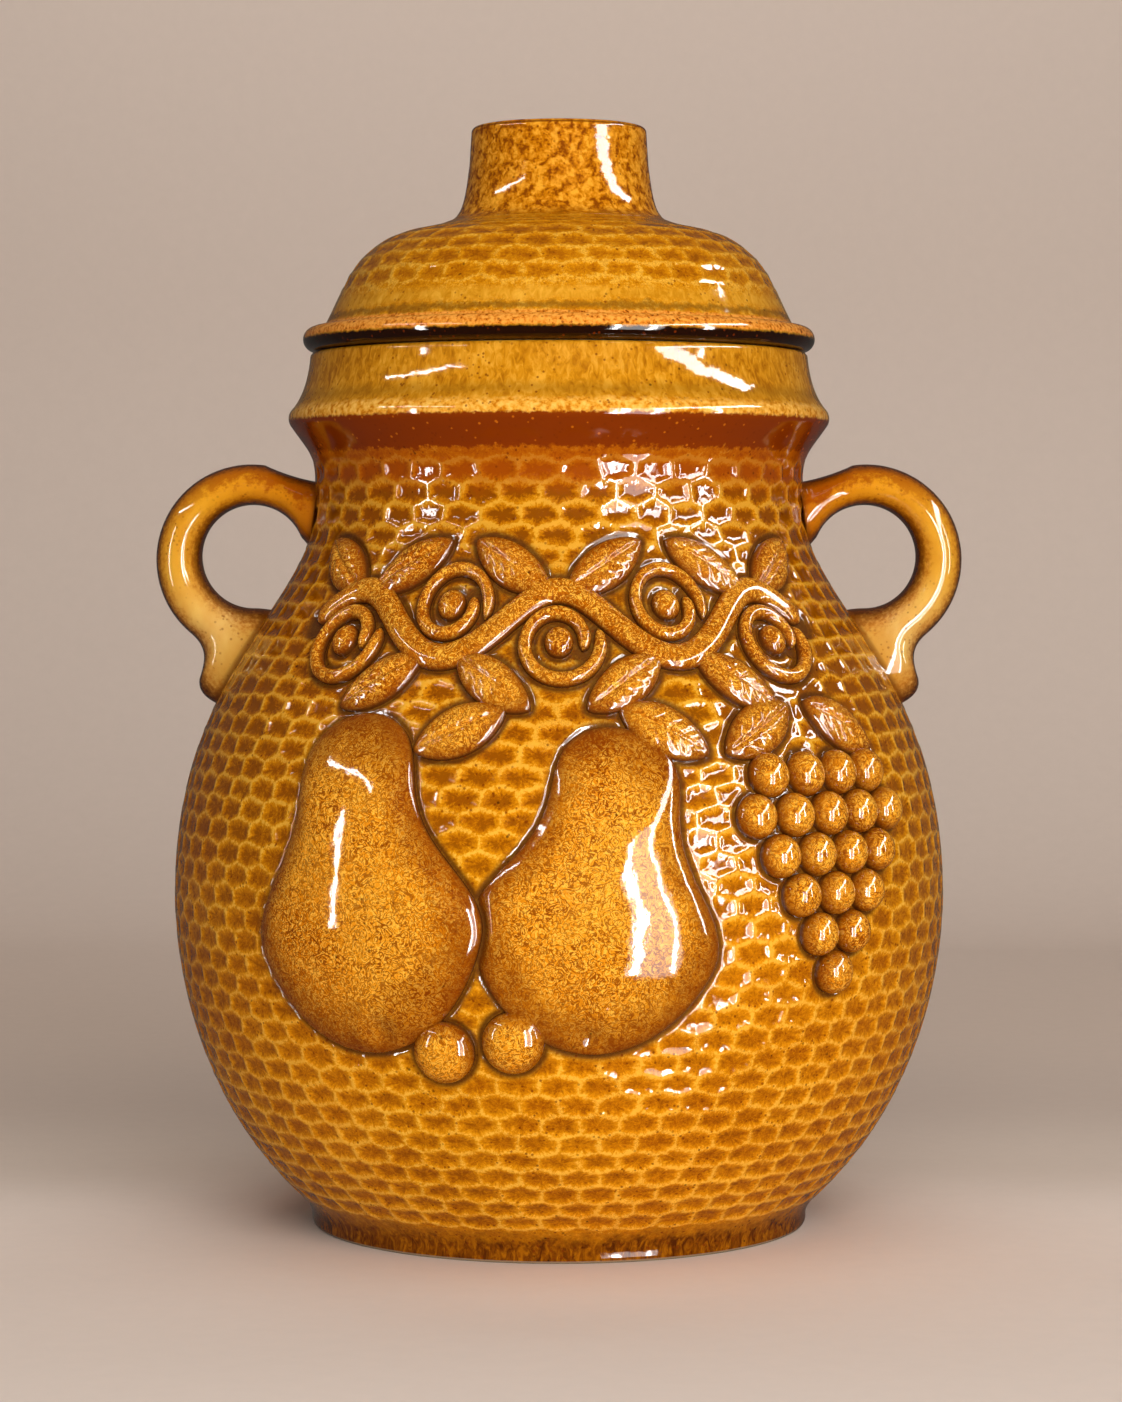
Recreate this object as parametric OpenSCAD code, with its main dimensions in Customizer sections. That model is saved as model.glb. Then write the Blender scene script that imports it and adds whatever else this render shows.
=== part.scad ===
// Lidded stoneware fruit crock: a bulbous jar with two loop handles, luted relief sprigs
// and a domed lid with a hollow knob. Millimetres, +Z up, origin under the centre of the foot.

/* [Jar] */
// Diameter of the foot where it meets the belly
foot_d = 146.2; // [110:0.1:170]
// Height of the straight foot under its fillet
foot_h = 3.1; // [1.5:0.1:8]
// Height of the fillet between foot and belly
foot_fillet = 5.9; // [3:0.1:10]
// Depth of the recess under the floor
foot_recess = 3; // [1:0.1:5]
// Width of the ring that the jar stands on
foot_ring_w = 9; // [5:0.1:14]
// Largest diameter of the belly
belly_d = 226.4; // [190:0.1:270]
// Height of the widest place of the belly
belly_z = 97; // [75:0.1:115]
// Diameter of the neck
neck_d = 143.6; // [115:0.1:160]
// Height at which the shoulder runs into the neck
neck_z = 212.4; // [195:0.1:230]
// Length of the straight neck
neck_h = 7.1; // [3:0.1:15]
// Diameter of the ridge round the collar
ridge_d = 159; // [150:0.1:175]
// Height of the ridge above the straight neck
ridge_rise = 17.2; // [12:0.1:25]
// Outer diameter of the rim
rim_d = 146.8; // [135:0.1:149]
// Height of the rim above the ridge
rim_rise = 19.3; // [14:0.1:30]
// Inner diameter of the mouth
mouth_d = 132; // [110:0.1:134]
// Thickness of the wall
wall = 7; // [5:0.1:9]
// Thickness of the floor
floor_t = 8; // [5:0.1:12]
// Rounding of the rim's edges
rim_round = 1.5; // [0.5:0.1:2.5]
// Rounding of the foot's lower edge
foot_round = 1.2; // [0.5:0.1:2]

/* [Lid] */
// Diameter of the bead round the lid
bead_d = 150.4; // [146:0.1:156]
// Thickness of the bead
bead_t = 7.2; // [5:0.1:9]
// Diameter of the dome where it rises from the bead
dome_d = 136.4; // [125:0.1:140]
// Height of the dome above the bead
dome_h = 30.8; // [22:0.1:42]
// Thickness of the lid's shell
lid_wall = 6; // [4:0.1:8]
// Gap under the resting lid
seat_gap = 0.3; // [0.1:0.05:0.6]
// Clearance between the locating ring and the mouth, on each side
ring_clearance = 1.5; // [0.5:0.1:3]
// Depth of the locating ring below the seat
ring_depth = 10; // [5:0.1:15]
// Thickness of the locating ring
ring_t = 4.5; // [3:0.1:6]

/* [Knob] */
// Diameter of the knob's top
knob_d = 51.4; // [42:0.1:60]
// Diameter of the knob's flared foot
knob_foot_d = 66; // [56:0.1:72]
// Height of the knob above the dome
knob_h = 27.9; // [20:0.1:36]
// Diameter of the hollow inside the knob
knob_bore_d = 38; // [28:0.1:40]
// Thickness of the knob's closed top
knob_top_t = 5.5; // [4:0.1:9]
// Depth of the dish in the knob's top
knob_dish = 2; // [0.5:0.1:3]
// Rounding of the knob's top edge
knob_round = 1.6; // [0.5:0.1:2.5]

/* [Handles] */
// Diameter of the finger hole
loop_d = 30.4; // [26:0.1:34]
// Height of the finger hole's centre below the neck's top
loop_drop = 23.2; // [20:0.1:27]
// Distance of the finger hole's centre from the wall beside it
loop_reach = 14.4; // [12:0.1:17]
// Thickness of the strap seen from the front
strap_t = 12.6; // [9:0.1:15]
// Width of the strap from front to back
strap_w = 20; // [14:0.1:26]
// Height of the strap's tail below the finger hole's centre
tail_drop = 36.3; // [32:0.1:40]
// Distance that the tail stands off the wall
tail_out = 8.5; // [5:0.1:11]

/* [Vine] */
// Height of the vine's middle line above the pears' upper end
vine_rise = 24; // [22:0.1:27]
// Width of the vine's stem
vine_w = 7; // [4:0.1:8]
// Height that the stem and tendrils stand off the wall
vine_h = 2.4; // [1:0.1:4]
// Number of half waves of the stem
vine_waves = 5; // [3:1:6]
// Length of a half wave
vine_wave_l = 31; // [26:0.1:33]
// Height of a wave above the middle line
vine_swing = 9; // [5:0.1:10]
// Length of a vine leaf
vine_leaf_l = 26; // [18:0.1:28]
// Width of a tendril
tendril_w = 3.8; // [2:0.1:4.5]
// Diameter of the berry in each tendril
berry_d = 8; // [4:0.1:9]
// Height that leaves and berries stand off the wall
leaf_h = 3.2; // [2:0.1:5]

/* [Fruit] */
// Height of the pears' middle above the jar's widest place
fruit_rise = 11; // [6:0.1:14]
// Height that the front pear stands off the wall
fruit_h = 7; // [4:0.1:9]
// Length of the front pear
pear_l = 92; // [74:0.1:94]
// Width of the front pear
pear_w = 75; // [56:0.1:78]
// Length of the rear pear
rear_pear_l = 88; // [70:0.1:90]
// Width of the rear pear
rear_pear_w = 73; // [54:0.1:76]
// Height that the rear pear stands off the wall
rear_pear_h = 4.8; // [3:0.1:6]
// Diameter of a grape
grape_d = 12.2; // [8:0.1:12.6]
// Diameter of a cherry
cherry_d = 17; // [12:0.1:19]
// Length of a leaf beside the fruits
fruit_leaf_l = 27; // [20:0.1:30]
// Sideways distance from the jar's front to the front pear's middle
front_pear_side = 57.1; // [55:0.1:60]
// Sideways distance from the jar's front to the rear pear's middle
rear_pear_side = 11.9; // [10:0.1:14]
// Sideways distance from the jar's front to the middle of the bunch of grapes
grapes_side = 78.4; // [76:0.1:82]
// Height of the top row of grapes below the pears' upper end
grapes_drop = 17; // [14:0.1:20]
// Sideways distance from the jar's front to the cherries
cherries_side = 21.7; // [19:0.1:24]
// Height of the cherries' middles above the pears' lower end
cherries_tuck = 3; // [0:0.1:5]
// Sideways spacing of the leaves beside the fruits
leaf_pitch = 28.7; // [27:0.1:30]
// Height of the leaves' middles below the pears' upper end
leaf_tuck = 4.5; // [2:0.1:7]

/* [Hidden] */

ROUND = 96;
GLAZE = [0.80, 0.50, 0.13];
PALE_GLAZE = [0.88, 0.62, 0.25];
BARE_CLAY = [0.72, 0.66, 0.56];

foot_r = foot_d / 2;
belly_r = belly_d / 2;
neck_r = neck_d / 2;
ridge_r = ridge_d / 2;
rim_r = rim_d / 2;
mouth_r = mouth_d / 2;
neck_top = neck_z + neck_h;
ridge_z = neck_top + ridge_rise;
rim_z = ridge_z + rim_rise;
floor_z = foot_recess + floor_t;
belly_start = foot_h + foot_fillet;
shoulder_h = neck_z - belly_z;
lower_h = belly_z - belly_start;

// Curves
function curve(p, t) = let (s = 1 - t)
    s * s * s * p[0] + 3 * s * s * t * p[1] + 3 * s * t * t * p[2] + t * t * t * p[3];
function curve_points(p, n) = [for (i = [0:n]) curve(p, i / n)];
function bend(a, b, c, t) = (1 - t) * (1 - t) * a + 2 * t * (1 - t) * b + t * t * c;
function bend_points(a, b, c, n) = [for (i = [0:n]) bend(a, b, c, i / n)];
function arc_points(c, r, from, to, n) =
    [for (i = [0:n]) let (a = from + (to - from) * i / n) c + r * [cos(a), sin(a)]];
function turned(p, a) = [p.x * cos(a) - p.y * sin(a), p.x * sin(a) + p.y * cos(a)];

// The jar's outer line from foot to rim. Each stretch is one curve whose inner control
// points are shares of the stretch's own height and of its change of radius.
foot_line = bend_points([foot_r, foot_h], [foot_r + 0.4, foot_h + foot_fillet / 2],
    [foot_r + 3.5, belly_start], 6);
lower_line = curve_points([[foot_r + 3.5, belly_start],
    [belly_r - 2, belly_start + 0.362 * lower_h], [belly_r, belly_z - 0.116 * lower_h],
    [belly_r, belly_z]], 20);
shoulder_line = curve_points([[belly_r, belly_z], [belly_r, belly_z + 0.589 * shoulder_h],
    [neck_r, neck_z - 0.261 * shoulder_h], [neck_r, neck_z]], 28);
flare_line = curve_points([[neck_r, neck_top], [neck_r + 0.1, neck_top + 0.41 * ridge_rise],
    [neck_r + 0.35 * (ridge_r - neck_r), neck_top + 0.5 * ridge_rise],
    [ridge_r - 0.9, ridge_z - 2.5]], 8);
ridge_line = curve_points([[ridge_r - 0.9, ridge_z - 2.5], [ridge_r + 0.3, ridge_z - 1.1],
    [ridge_r + 0.3, ridge_z + 1.1], [ridge_r - 1, ridge_z + 2.6]], 6);
collar_line = curve_points([[ridge_r - 1, ridge_z + 2.6],
    [rim_r + 0.48 * (ridge_r - rim_r), ridge_z + 0.26 * rim_rise],
    [rim_r + 0.08 * (ridge_r - rim_r), ridge_z + 0.5 * rim_rise],
    [rim_r - 0.3, rim_z - rim_round]], 10);
outer_line = concat(foot_line, lower_line, shoulder_line, flare_line, ridge_line, collar_line);

// The inner line follows the outer one a wall's thickness inside it
inner_belly = belly_r - wall;
inner_neck = min(neck_r - wall, mouth_r);
inner_foot = foot_r - wall / 2;
inner_lower = curve_points([[inner_foot - 9, floor_z], [inner_foot + 1, floor_z + 1],
    [inner_foot + 8, belly_start + wall + 2], [inner_foot + 13, belly_start + wall + 9]], 6);
inner_side = curve_points([inner_lower[6], [inner_belly - 4, belly_start + 0.5 * lower_h],
    [inner_belly, belly_z - 0.12 * lower_h], [inner_belly, belly_z]], 14);
inner_shoulder = curve_points([[inner_belly, belly_z], [inner_belly, belly_z + 0.575 * shoulder_h],
    [inner_neck, neck_z - 0.28 * shoulder_h], [inner_neck, neck_z]], 20);

// Radius of the outer wall at a height
wall_table = [for (p = concat(foot_line, lower_line, shoulder_line, [[neck_r, neck_top]])) [p.y, p.x]];
function wall_r(z) = lookup(z, wall_table);
function slope(z) = (wall_r(z + 1) - wall_r(z - 1)) / 2;
// Point at an angle from the front, a height, and a distance off the wall
function on_wall(az, z, h) = let (s = slope(z), n = sqrt(1 + s * s), r = wall_r(z) + h / n)
    [r * sin(az), -r * cos(az), z - h * s / n];
// Point of a flat drawing laid on the wall: at is [angle, height] of its middle
function laid(at, tilt, p, h) = let (q = turned(p, tilt))
    on_wall(at[0] + q.x / wall_r(at[1]) * 180 / PI, at[1] + q.y, h);

// How far luted pieces sink into the wall
sink = 0.4;

module jar_body() {
    color(GLAZE)
    rotate_extrude($fn = ROUND)
    polygon(concat(
        [[0, foot_recess], [foot_r - foot_ring_w - 2, foot_recess], [foot_r - foot_ring_w, 0],
            [foot_r - foot_round, 0], [foot_r - 0.2, 0.7 * foot_round]],
        outer_line,
        arc_points([rim_r - 0.3 - rim_round, rim_z - rim_round], rim_round, 15, 90, 4),
        arc_points([mouth_r + rim_round, rim_z - rim_round], rim_round, 90, 180, 4),
        [[mouth_r, ridge_z], [inner_neck, neck_top]],
        [for (i = [20:-1:0]) inner_shoulder[i]],
        [for (i = [13:-1:0]) inner_side[i]],
        [for (i = [5:-1:0]) inner_lower[i]],
        [[0, floor_z]]));
}

// Closed skin over rings of points. Every ring has the same count and both ends are capped.
module skin(rings) {
    n = len(rings[0]);
    last = len(rings) - 1;
    points = [for (ring = rings) for (p = ring) p];
    sides = [for (i = [0:last - 1]) for (j = [0:n - 1]) let (a = i * n, b = (i + 1) * n, k = (j + 1) % n)
        each [[a + j, a + k, b + k], [a + j, b + k, b + j]]];
    start = [for (j = [1:n - 2]) [0, j + 1, j]];
    end = [for (j = [1:n - 2]) [last * n, last * n + j, last * n + j + 1]];
    polyhedron(points, concat(sides, start, end), convexity = 6);
}

// Handles
loop_r = loop_d / 2;
loop_z = neck_top - loop_drop;
loop_x = wall_r(loop_z) + loop_reach;
strap_c = [loop_x + 0.5, loop_z - 1];
strap_r = loop_r + strap_t + 0.4;
root = 1.5;
root_top = neck_top - 1.3;
root_low = loop_z + 2.4;
tail_z = loop_z - tail_drop;
tail_end = tail_z - 7.6;
tail_in = loop_z - loop_r - 1.4;
// Outer and inner edge of the strap from the upper root to the tail, seen from the front
strap_outer = concat(
    bend_points([wall_r(root_top) - root, root_top], [wall_r(root_top) + 6.7, root_top + 1.2],
        strap_c + strap_r * [cos(98), sin(98)], 5),
    arc_points(strap_c, strap_r, 90, -42, 16),
    curve_points([strap_c + strap_r * [cos(-50), sin(-50)],
        strap_c + strap_r * [cos(-50), sin(-50)] - 7 * [cos(40), sin(40)],
        [wall_r(tail_z) + tail_out - 1.7, tail_z + 5.3], [wall_r(tail_z) + tail_out, tail_z]], 6),
    [[wall_r(tail_z) + tail_out - 0.5, tail_z - 2.7], [wall_r(tail_end) + 2.6, tail_end + 2.2],
        [wall_r(tail_end) - root, tail_end]]);
strap_inner = concat(
    [[wall_r(root_low) - root, root_low]],
    arc_points([loop_x, loop_z], loop_r, 158, 100, 4),
    arc_points([loop_x, loop_z], loop_r, 92, -42, 16),
    arc_points([loop_x, loop_z], loop_r, -50, -100, 6),
    [[wall_r(tail_in) + 1.4, loop_z - loop_r - 0.4], [wall_r(tail_in) + 0.2, tail_in + 0.3],
        [wall_r(tail_in) - root, tail_in]]);

module handle(side) {
    sides = 16;
    last = len(strap_outer) - 1;
    rings = [for (i = [0:last])
        let (a = strap_outer[i], b = strap_inner[i], c = (a + b) / 2, d = (a - b) / 2,
            upper = max(0, 1 - i / 5), lower = max(0, (i - last + 9) / 9),
            w = strap_w / 2 * (1 + 0.2 * upper + 0.15 * lower))
        [for (j = [0:sides - 1]) let (t = 360 * j / sides)
            [c.x + d.x * cos(t), w * sin(t), c.y + d.y * cos(t)]]];
    color(PALE_GLAZE)
    mirror([side < 0 ? 1 : 0, 0, 0])
    skin(rings);
}

module left_handle() { handle(-1); }
module right_handle() { handle(1); }

// A domed pad luted to the wall. Its rim is a closed outline round [0, 0].
module pad(at, tilt, outline, h, steps, back) {
    n = len(outline);
    top = [for (k = [0:steps - 1]) let (a = 90 * k / steps)
        [for (p = outline) laid(at, tilt, p * cos(a), h * sin(a))]];
    under = [for (k = [back - 1:-1:0]) [for (p = outline) laid(at, tilt, p * (1 - k / back), -sink)]];
    rings = concat(under, top);
    points = concat([for (ring = rings) for (p = ring) p],
        [laid(at, tilt, [0, 0], -sink), laid(at, tilt, [0, 0], h)]);
    last = len(rings) - 1;
    sides = [for (i = [0:last - 1]) for (j = [0:n - 1]) let (a = i * n, b = (i + 1) * n, k = (j + 1) % n)
        each [[a + j, b + k, a + k], [a + j, b + j, b + k]]];
    middle = len(rings) * n;
    low = [for (j = [0:n - 1]) [middle, j, (j + 1) % n]];
    high = [for (j = [0:n - 1]) [middle + 1, last * n + (j + 1) % n, last * n + j]];
    polyhedron(points, concat(sides, low, high), convexity = 6);
}

// A raised line luted to the wall, through points of a flat drawing. Its ends taper.
module stroke(at, path, w, h) {
    last = len(path) - 1;
    across = 5;
    rings = [for (i = [0:last])
        let (d = path[min(i + 1, last)] - path[max(i - 1, 0)], u = d / norm(d), v = [-u.y, u.x],
            e = min(i, last - i), s = e == 0 ? 0.35 : e == 1 ? 0.8 : 1)
        concat(
            [for (j = [0:across]) let (t = 180 * j / across)
                laid(at, 0, path[i] + v * (s * w / 2 * cos(t)), s * h * sin(t))],
            [laid(at, 0, path[i] - v * (s * w / 2), -sink), laid(at, 0, path[i] + v * (s * w / 2), -sink)])];
    skin(rings);
}

// Middle and ends of the fruits' zone
fruit_z = belly_z + fruit_rise;
fruit_top = fruit_z + max(pear_l, rear_pear_l) / 2;
fruit_low = fruit_z - max(pear_l, rear_pear_l) / 2;

// Outlines
function pear_bulge(s) = s < -0.4 ? 0 : pow(sin(180 * (s + 0.4) / 1.65), 2);
function pear_outline(l, w, n) = [for (i = [0:n - 1]) let (t = 360 * i / n, s = sin(t))
    [w / 2 * cos(t) * (1 - 0.42 * pear_bulge(s)), l / 2 * s]];
function leaf_outline(l, w, n) = [for (i = [0:n - 1]) let (t = 360 * i / n)
    [l / 2 * cos(t), w / 2 * sin(t) * (0.5 + 0.5 * abs(sin(t)))]];
function round_outline(d, n) = [for (i = [0:n - 1]) d / 2 * [cos(360 * i / n), sin(360 * i / n)]];

// The vine: a wavy stem across the shoulder, a pair of leaves on the outside of each wave,
// and a spiral tendril round a berry in the hollow of each wave
vine_z = fruit_top + vine_rise;
vine_at = [0, vine_z];
vine_half = vine_waves * vine_wave_l / 2;
crests = [for (i = [0:vine_waves - 1]) [(i + 0.5) * vine_wave_l - vine_half, i % 2 == 0 ? 1 : -1]];
function vine_point(x) = [x, vine_swing * sin(180 * (x + vine_half) / vine_wave_l)];
function wall_place(at, p) = [at[0] + p.x / wall_r(at[1]) * 180 / PI, at[1] + p.y];

module vine_stem() {
    color(GLAZE)
    stroke(vine_at, [for (i = [0:8 * vine_waves]) vine_point(i * vine_wave_l / 8 - vine_half)],
        vine_w, vine_h);
}

module vine_foliage() {
    lean = 33;
    spread = 0.56 * vine_leaf_l;
    color(GLAZE)
    for (c = crests, side = [-1, 1]) {
        middle = [c[0] + side * spread, c[1] * (vine_swing + 0.26 * vine_leaf_l)];
        pad(wall_place(vine_at, middle), side * c[1] * lean,
            leaf_outline(vine_leaf_l, 0.46 * vine_leaf_l, 16), leaf_h, 3, 1);
    }
}

// The tendril starts on the stem and winds in towards the middle of the hollow
hollow_y = 0.55 * vine_swing;
module vine_tendrils() {
    r = 0.36 * vine_wave_l;
    color(GLAZE)
    for (c = crests) {
        middle = [c[0], -c[1] * hollow_y];
        stroke(vine_at, [for (i = [0:14]) let (t = i / 14, a = c[1] * (20 - 400 * t))
            middle + r * (1 - 0.42 * t) * [cos(a), sin(a)]], tendril_w, vine_h);
    }
}

module vine_berries() {
    color(GLAZE)
    for (c = crests)
        pad(wall_place(vine_at, [c[0], -c[1] * hollow_y]), 0, round_outline(berry_d, 12), leaf_h, 3, 1);
}

// The fruits, each at [angle from the front, height]
function beside_front(x, z) = [x / wall_r(z) * 180 / PI, z];
front_pear_at = beside_front(-front_pear_side, fruit_z);
rear_pear_at = beside_front(rear_pear_side, fruit_z - 1);
grapes_at = beside_front(grapes_side, fruit_top - grapes_drop);
cherries_at = beside_front(-cherries_side, fruit_low + cherries_tuck);
front_tilt = 7;
rear_tilt = -9;

module front_pear() {
    color(GLAZE)
    pad(front_pear_at, front_tilt, pear_outline(pear_l, pear_w, 40), fruit_h, 7, 4);
}

module rear_pear() {
    color(GLAZE)
    difference() {
        pad(rear_pear_at, rear_tilt, pear_outline(rear_pear_l, rear_pear_w, 40), rear_pear_h, 7, 4);
        pad(front_pear_at, front_tilt, 1.01 * pear_outline(pear_l, pear_w, 40), 2 * fruit_h, 7, 4);
    }
}

// Leaves beside the fruits: the place of each one's middle in leaf spacings, and its lean
fruit_leaves = [[-0.94, 24], [1, -28], [2, 28], [3.05, -30]];
module fruit_foliage() {
    color(GLAZE)
    for (leaf = fruit_leaves)
        pad(beside_front(leaf[0] * leaf_pitch, fruit_top - leaf_tuck), leaf[1],
            leaf_outline(fruit_leaf_l, 0.5 * fruit_leaf_l, 20), leaf_h, 3, 1);
}

// Rows of grapes, from the stalk to the tip
grape_rows = [4, 5, 4, 3, 2, 1];
grape_pitch = grape_d + 0.3;
module grape_bunch() {
    color(GLAZE)
    for (i = [0:len(grape_rows) - 1], j = [0:grape_rows[i] - 1]) {
        z = grapes_at[1] - i * grape_pitch * sin(60);
        x = (j - (grape_rows[i] - 1) / 2) * grape_pitch;
        pad([grapes_at[0] + x / wall_r(z) * 180 / PI, z], 0, round_outline(grape_d, 12),
            0.45 * grape_d, 3, 1);
    }
}

module cherry_pair() {
    color(GLAZE)
    for (side = [-1, 1])
        pad(wall_place(cherries_at, [side * 0.56 * cherry_d, side * 0.09 * cherry_d]), 0,
            round_outline(cherry_d, 20), 0.33 * cherry_d, 4, 1);
}

// Lid
seat_z = rim_z + seat_gap;
bead_c = [bead_d / 2 - bead_t / 2, seat_z + bead_t / 2];
bead_top = seat_z + bead_t;
dome_r = dome_d / 2;
dome_z = bead_top + 1.7;
knob_z = bead_top + dome_h;
knob_foot_r = knob_foot_d / 2;
knob_bore_r = knob_bore_d / 2;
ring_r = mouth_r - ring_clearance;
ring_in = ring_r - ring_t;
dome_rise = knob_z - dome_z;
// The dome's outer line from the bead to the flat land that the knob stands on
dome_line = concat(
    curve_points([[dome_r, dome_z], [dome_r - 4.3, dome_z + 0.285 * dome_rise],
        [dome_r - 5.6, dome_z + 0.47 * dome_rise], [dome_r - 10.6, dome_z + 0.64 * dome_rise]], 10),
    curve_points([[dome_r - 10.6, dome_z + 0.64 * dome_rise], [dome_r - 19.8, dome_z + 0.955 * dome_rise],
        [knob_foot_r + 9, knob_z - 3.6], [knob_foot_r, knob_z]], 12));
dome_inner = curve_points([[ring_in, seat_z + 5], [ring_in - 0.5, dome_z + 0.36 * dome_rise],
    [knob_foot_r + 16, knob_z - lid_wall - 2.2], [knob_bore_r + 3, knob_z - lid_wall]], 12);

module lid_shell() {
    color(GLAZE)
    rotate_extrude($fn = ROUND)
    polygon(concat(
        [[ring_in, seat_z]],
        arc_points(bead_c, bead_t / 2, -90, 80, 10),
        bend_points([dome_r + 2.2, bead_top - 0.4], [dome_r + 0.6, bead_top + 0.2], [dome_r, dome_z], 3),
        [for (i = [1:len(dome_line) - 1]) dome_line[i]],
        [[knob_bore_r, knob_z], [knob_bore_r, knob_z - lid_wall]],
        [for (i = [12:-1:0]) dome_inner[i]]));
}

// Locating ring under the lid, bare clay, that drops into the mouth
module lid_ring() {
    color(BARE_CLAY)
    rotate_extrude($fn = ROUND)
    polygon([[ring_in, seat_z], [ring_in, seat_z - ring_depth + 1.2], [ring_in + 1.2, seat_z - ring_depth],
        [ring_r - 1.2, seat_z - ring_depth], [ring_r, seat_z - ring_depth + 1.2], [ring_r, seat_z]]);
}

// Hollow knob, open to the inside of the lid
module lid_knob() {
    top = knob_z + knob_h;
    r = knob_d / 2;
    color(GLAZE)
    rotate_extrude($fn = ROUND)
    polygon(concat(
        [[knob_bore_r, knob_z]],
        curve_points([[knob_foot_r, knob_z], [r + 2.6, knob_z + 1.3],
            [r + 1.9, knob_z + 0.25 * knob_h], [r + 0.6, knob_z + 0.6 * knob_h]], 10),
        arc_points([r - knob_round, top - knob_round], knob_round, 0, 90, 4),
        arc_points([r - knob_round - 1.5, top - knob_round / 2], knob_round / 2, 90, 180, 2),
        [[r - 7, top - knob_dish], [0, top - knob_dish], [0, top - knob_dish - knob_top_t],
            [knob_bore_r - 3, top - knob_dish - knob_top_t], [knob_bore_r, top - knob_dish - knob_top_t - 3]]));
}

jar_body();
left_handle();
right_handle();
vine_stem();
vine_foliage();
vine_tendrils();
vine_berries();
front_pear();
rear_pear();
fruit_foliage();
grape_bunch();
cherry_pair();
lid_shell();
lid_ring();
lid_knob();
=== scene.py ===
"""A honey-glazed stoneware fruit crock with a hammered honeycomb wall, raised fruits and a vine,
two loop handles and a lift-off domed lid. Shapes are worked out in millimetres in the part's own
frame: +Z up, front towards -Y."""
import math

import bpy
import numpy as np
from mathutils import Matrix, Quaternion, Vector


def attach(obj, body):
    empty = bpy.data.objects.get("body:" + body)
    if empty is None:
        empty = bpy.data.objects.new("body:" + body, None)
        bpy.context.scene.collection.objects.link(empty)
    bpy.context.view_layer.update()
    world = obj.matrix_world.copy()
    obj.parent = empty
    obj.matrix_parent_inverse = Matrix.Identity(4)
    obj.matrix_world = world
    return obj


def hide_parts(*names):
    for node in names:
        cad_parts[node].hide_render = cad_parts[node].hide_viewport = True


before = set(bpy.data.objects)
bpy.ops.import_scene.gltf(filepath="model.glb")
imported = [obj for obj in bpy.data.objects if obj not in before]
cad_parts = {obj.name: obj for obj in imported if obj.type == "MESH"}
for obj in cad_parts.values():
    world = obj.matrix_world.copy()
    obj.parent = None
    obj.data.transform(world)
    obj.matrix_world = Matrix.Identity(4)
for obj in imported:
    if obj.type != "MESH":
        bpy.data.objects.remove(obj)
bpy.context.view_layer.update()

MM = 0.001

# Sizes of the jar
FOOT_R, FOOT_H, FOOT_FILLET, FOOT_RECESS = 73.1, 3.1, 5.9, 3.0
FOOT_RING_W, FOOT_ROUND = 9.0, 1.2
BELLY_R, BELLY_Z = 113.2, 97.0
NECK_R, NECK_Z, NECK_H = 71.8, 212.4, 7.1
RIDGE_R, RIDGE_RISE = 79.5, 17.2
RIM_R, RIM_RISE, RIM_ROUND = 73.4, 19.3, 1.5
MOUTH_R, WALL, FLOOR_T = 66.0, 7.0, 8.0
NECK_TOP = NECK_Z + NECK_H
RIDGE_Z = NECK_TOP + RIDGE_RISE
RIM_Z = RIDGE_Z + RIM_RISE
FLOOR_Z = FOOT_RECESS + FLOOR_T

# Sizes of the lid and its knob
BEAD_R, BEAD_T, DOME_R, DOME_H, LID_WALL = 75.2, 7.2, 68.2, 30.8, 6.0
SEAT_GAP, RING_CLEARANCE, RING_T = 0.3, 1.5, 4.5
KNOB_R, KNOB_FOOT_R, KNOB_H, KNOB_BORE_R = 25.7, 33.0, 27.9, 19.0
KNOB_TOP_T, KNOB_DISH, KNOB_ROUND = 5.5, 2.0, 1.6
SEAT_Z = RIM_Z + SEAT_GAP
BEAD_TOP = SEAT_Z + BEAD_T
DOME_Z = BEAD_TOP + 1.7
KNOB_Z = BEAD_TOP + DOME_H
RING_IN = MOUTH_R - RING_CLEARANCE - RING_T

# Sizes of the handles
LOOP_R, LOOP_DROP, LOOP_REACH = 15.2, 23.2, 14.4
STRAP_T, STRAP_W, TAIL_DROP, TAIL_OUT = 12.6, 20.0, 36.3, 8.5

# Hammered cells of the wall and of the dome
CELL_W, CELL_ROW, CELL_DEPTH, CELL_STRETCH = 10.9, 6.1, 0.45, 1.66
CELL_JITTER, CELL_TOP = 0.10, NECK_TOP + 6.4
DIMPLE_W, DIMPLE_ROW, DIMPLE_DEPTH = 11.0, 5.4, 0.3

# Fineness of the meshes
FINE_STEP, COARSE_STEP = 0.52, 0.9
FRONT_HALF = math.radians(64)


# Curves and outlines, as arrays of points
def bezier(p0, p1, p2, p3, n):
    t = np.linspace(0, 1, n + 1)[:, None]
    p0, p1, p2, p3 = (np.array(p, float) for p in (p0, p1, p2, p3))
    return (1 - t) ** 3 * p0 + 3 * (1 - t) ** 2 * t * p1 + 3 * (1 - t) * t ** 2 * p2 + t ** 3 * p3


def bend(a, b, c, n):
    t = np.linspace(0, 1, n + 1)[:, None]
    a, b, c = (np.array(p, float) for p in (a, b, c))
    return (1 - t) ** 2 * a + 2 * t * (1 - t) * b + t ** 2 * c


def arc(centre, r, start, end, n):
    a = np.radians(np.linspace(start, end, n + 1))
    return np.array(centre, float) + r * np.stack([np.cos(a), np.sin(a)], 1)


def joined(*lines):
    points = np.vstack([np.array(line, float).reshape(-1, 2) for line in lines])
    keep = np.r_[True, np.linalg.norm(np.diff(points, axis=0), axis=1) > 1e-6]
    return points[keep]


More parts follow.
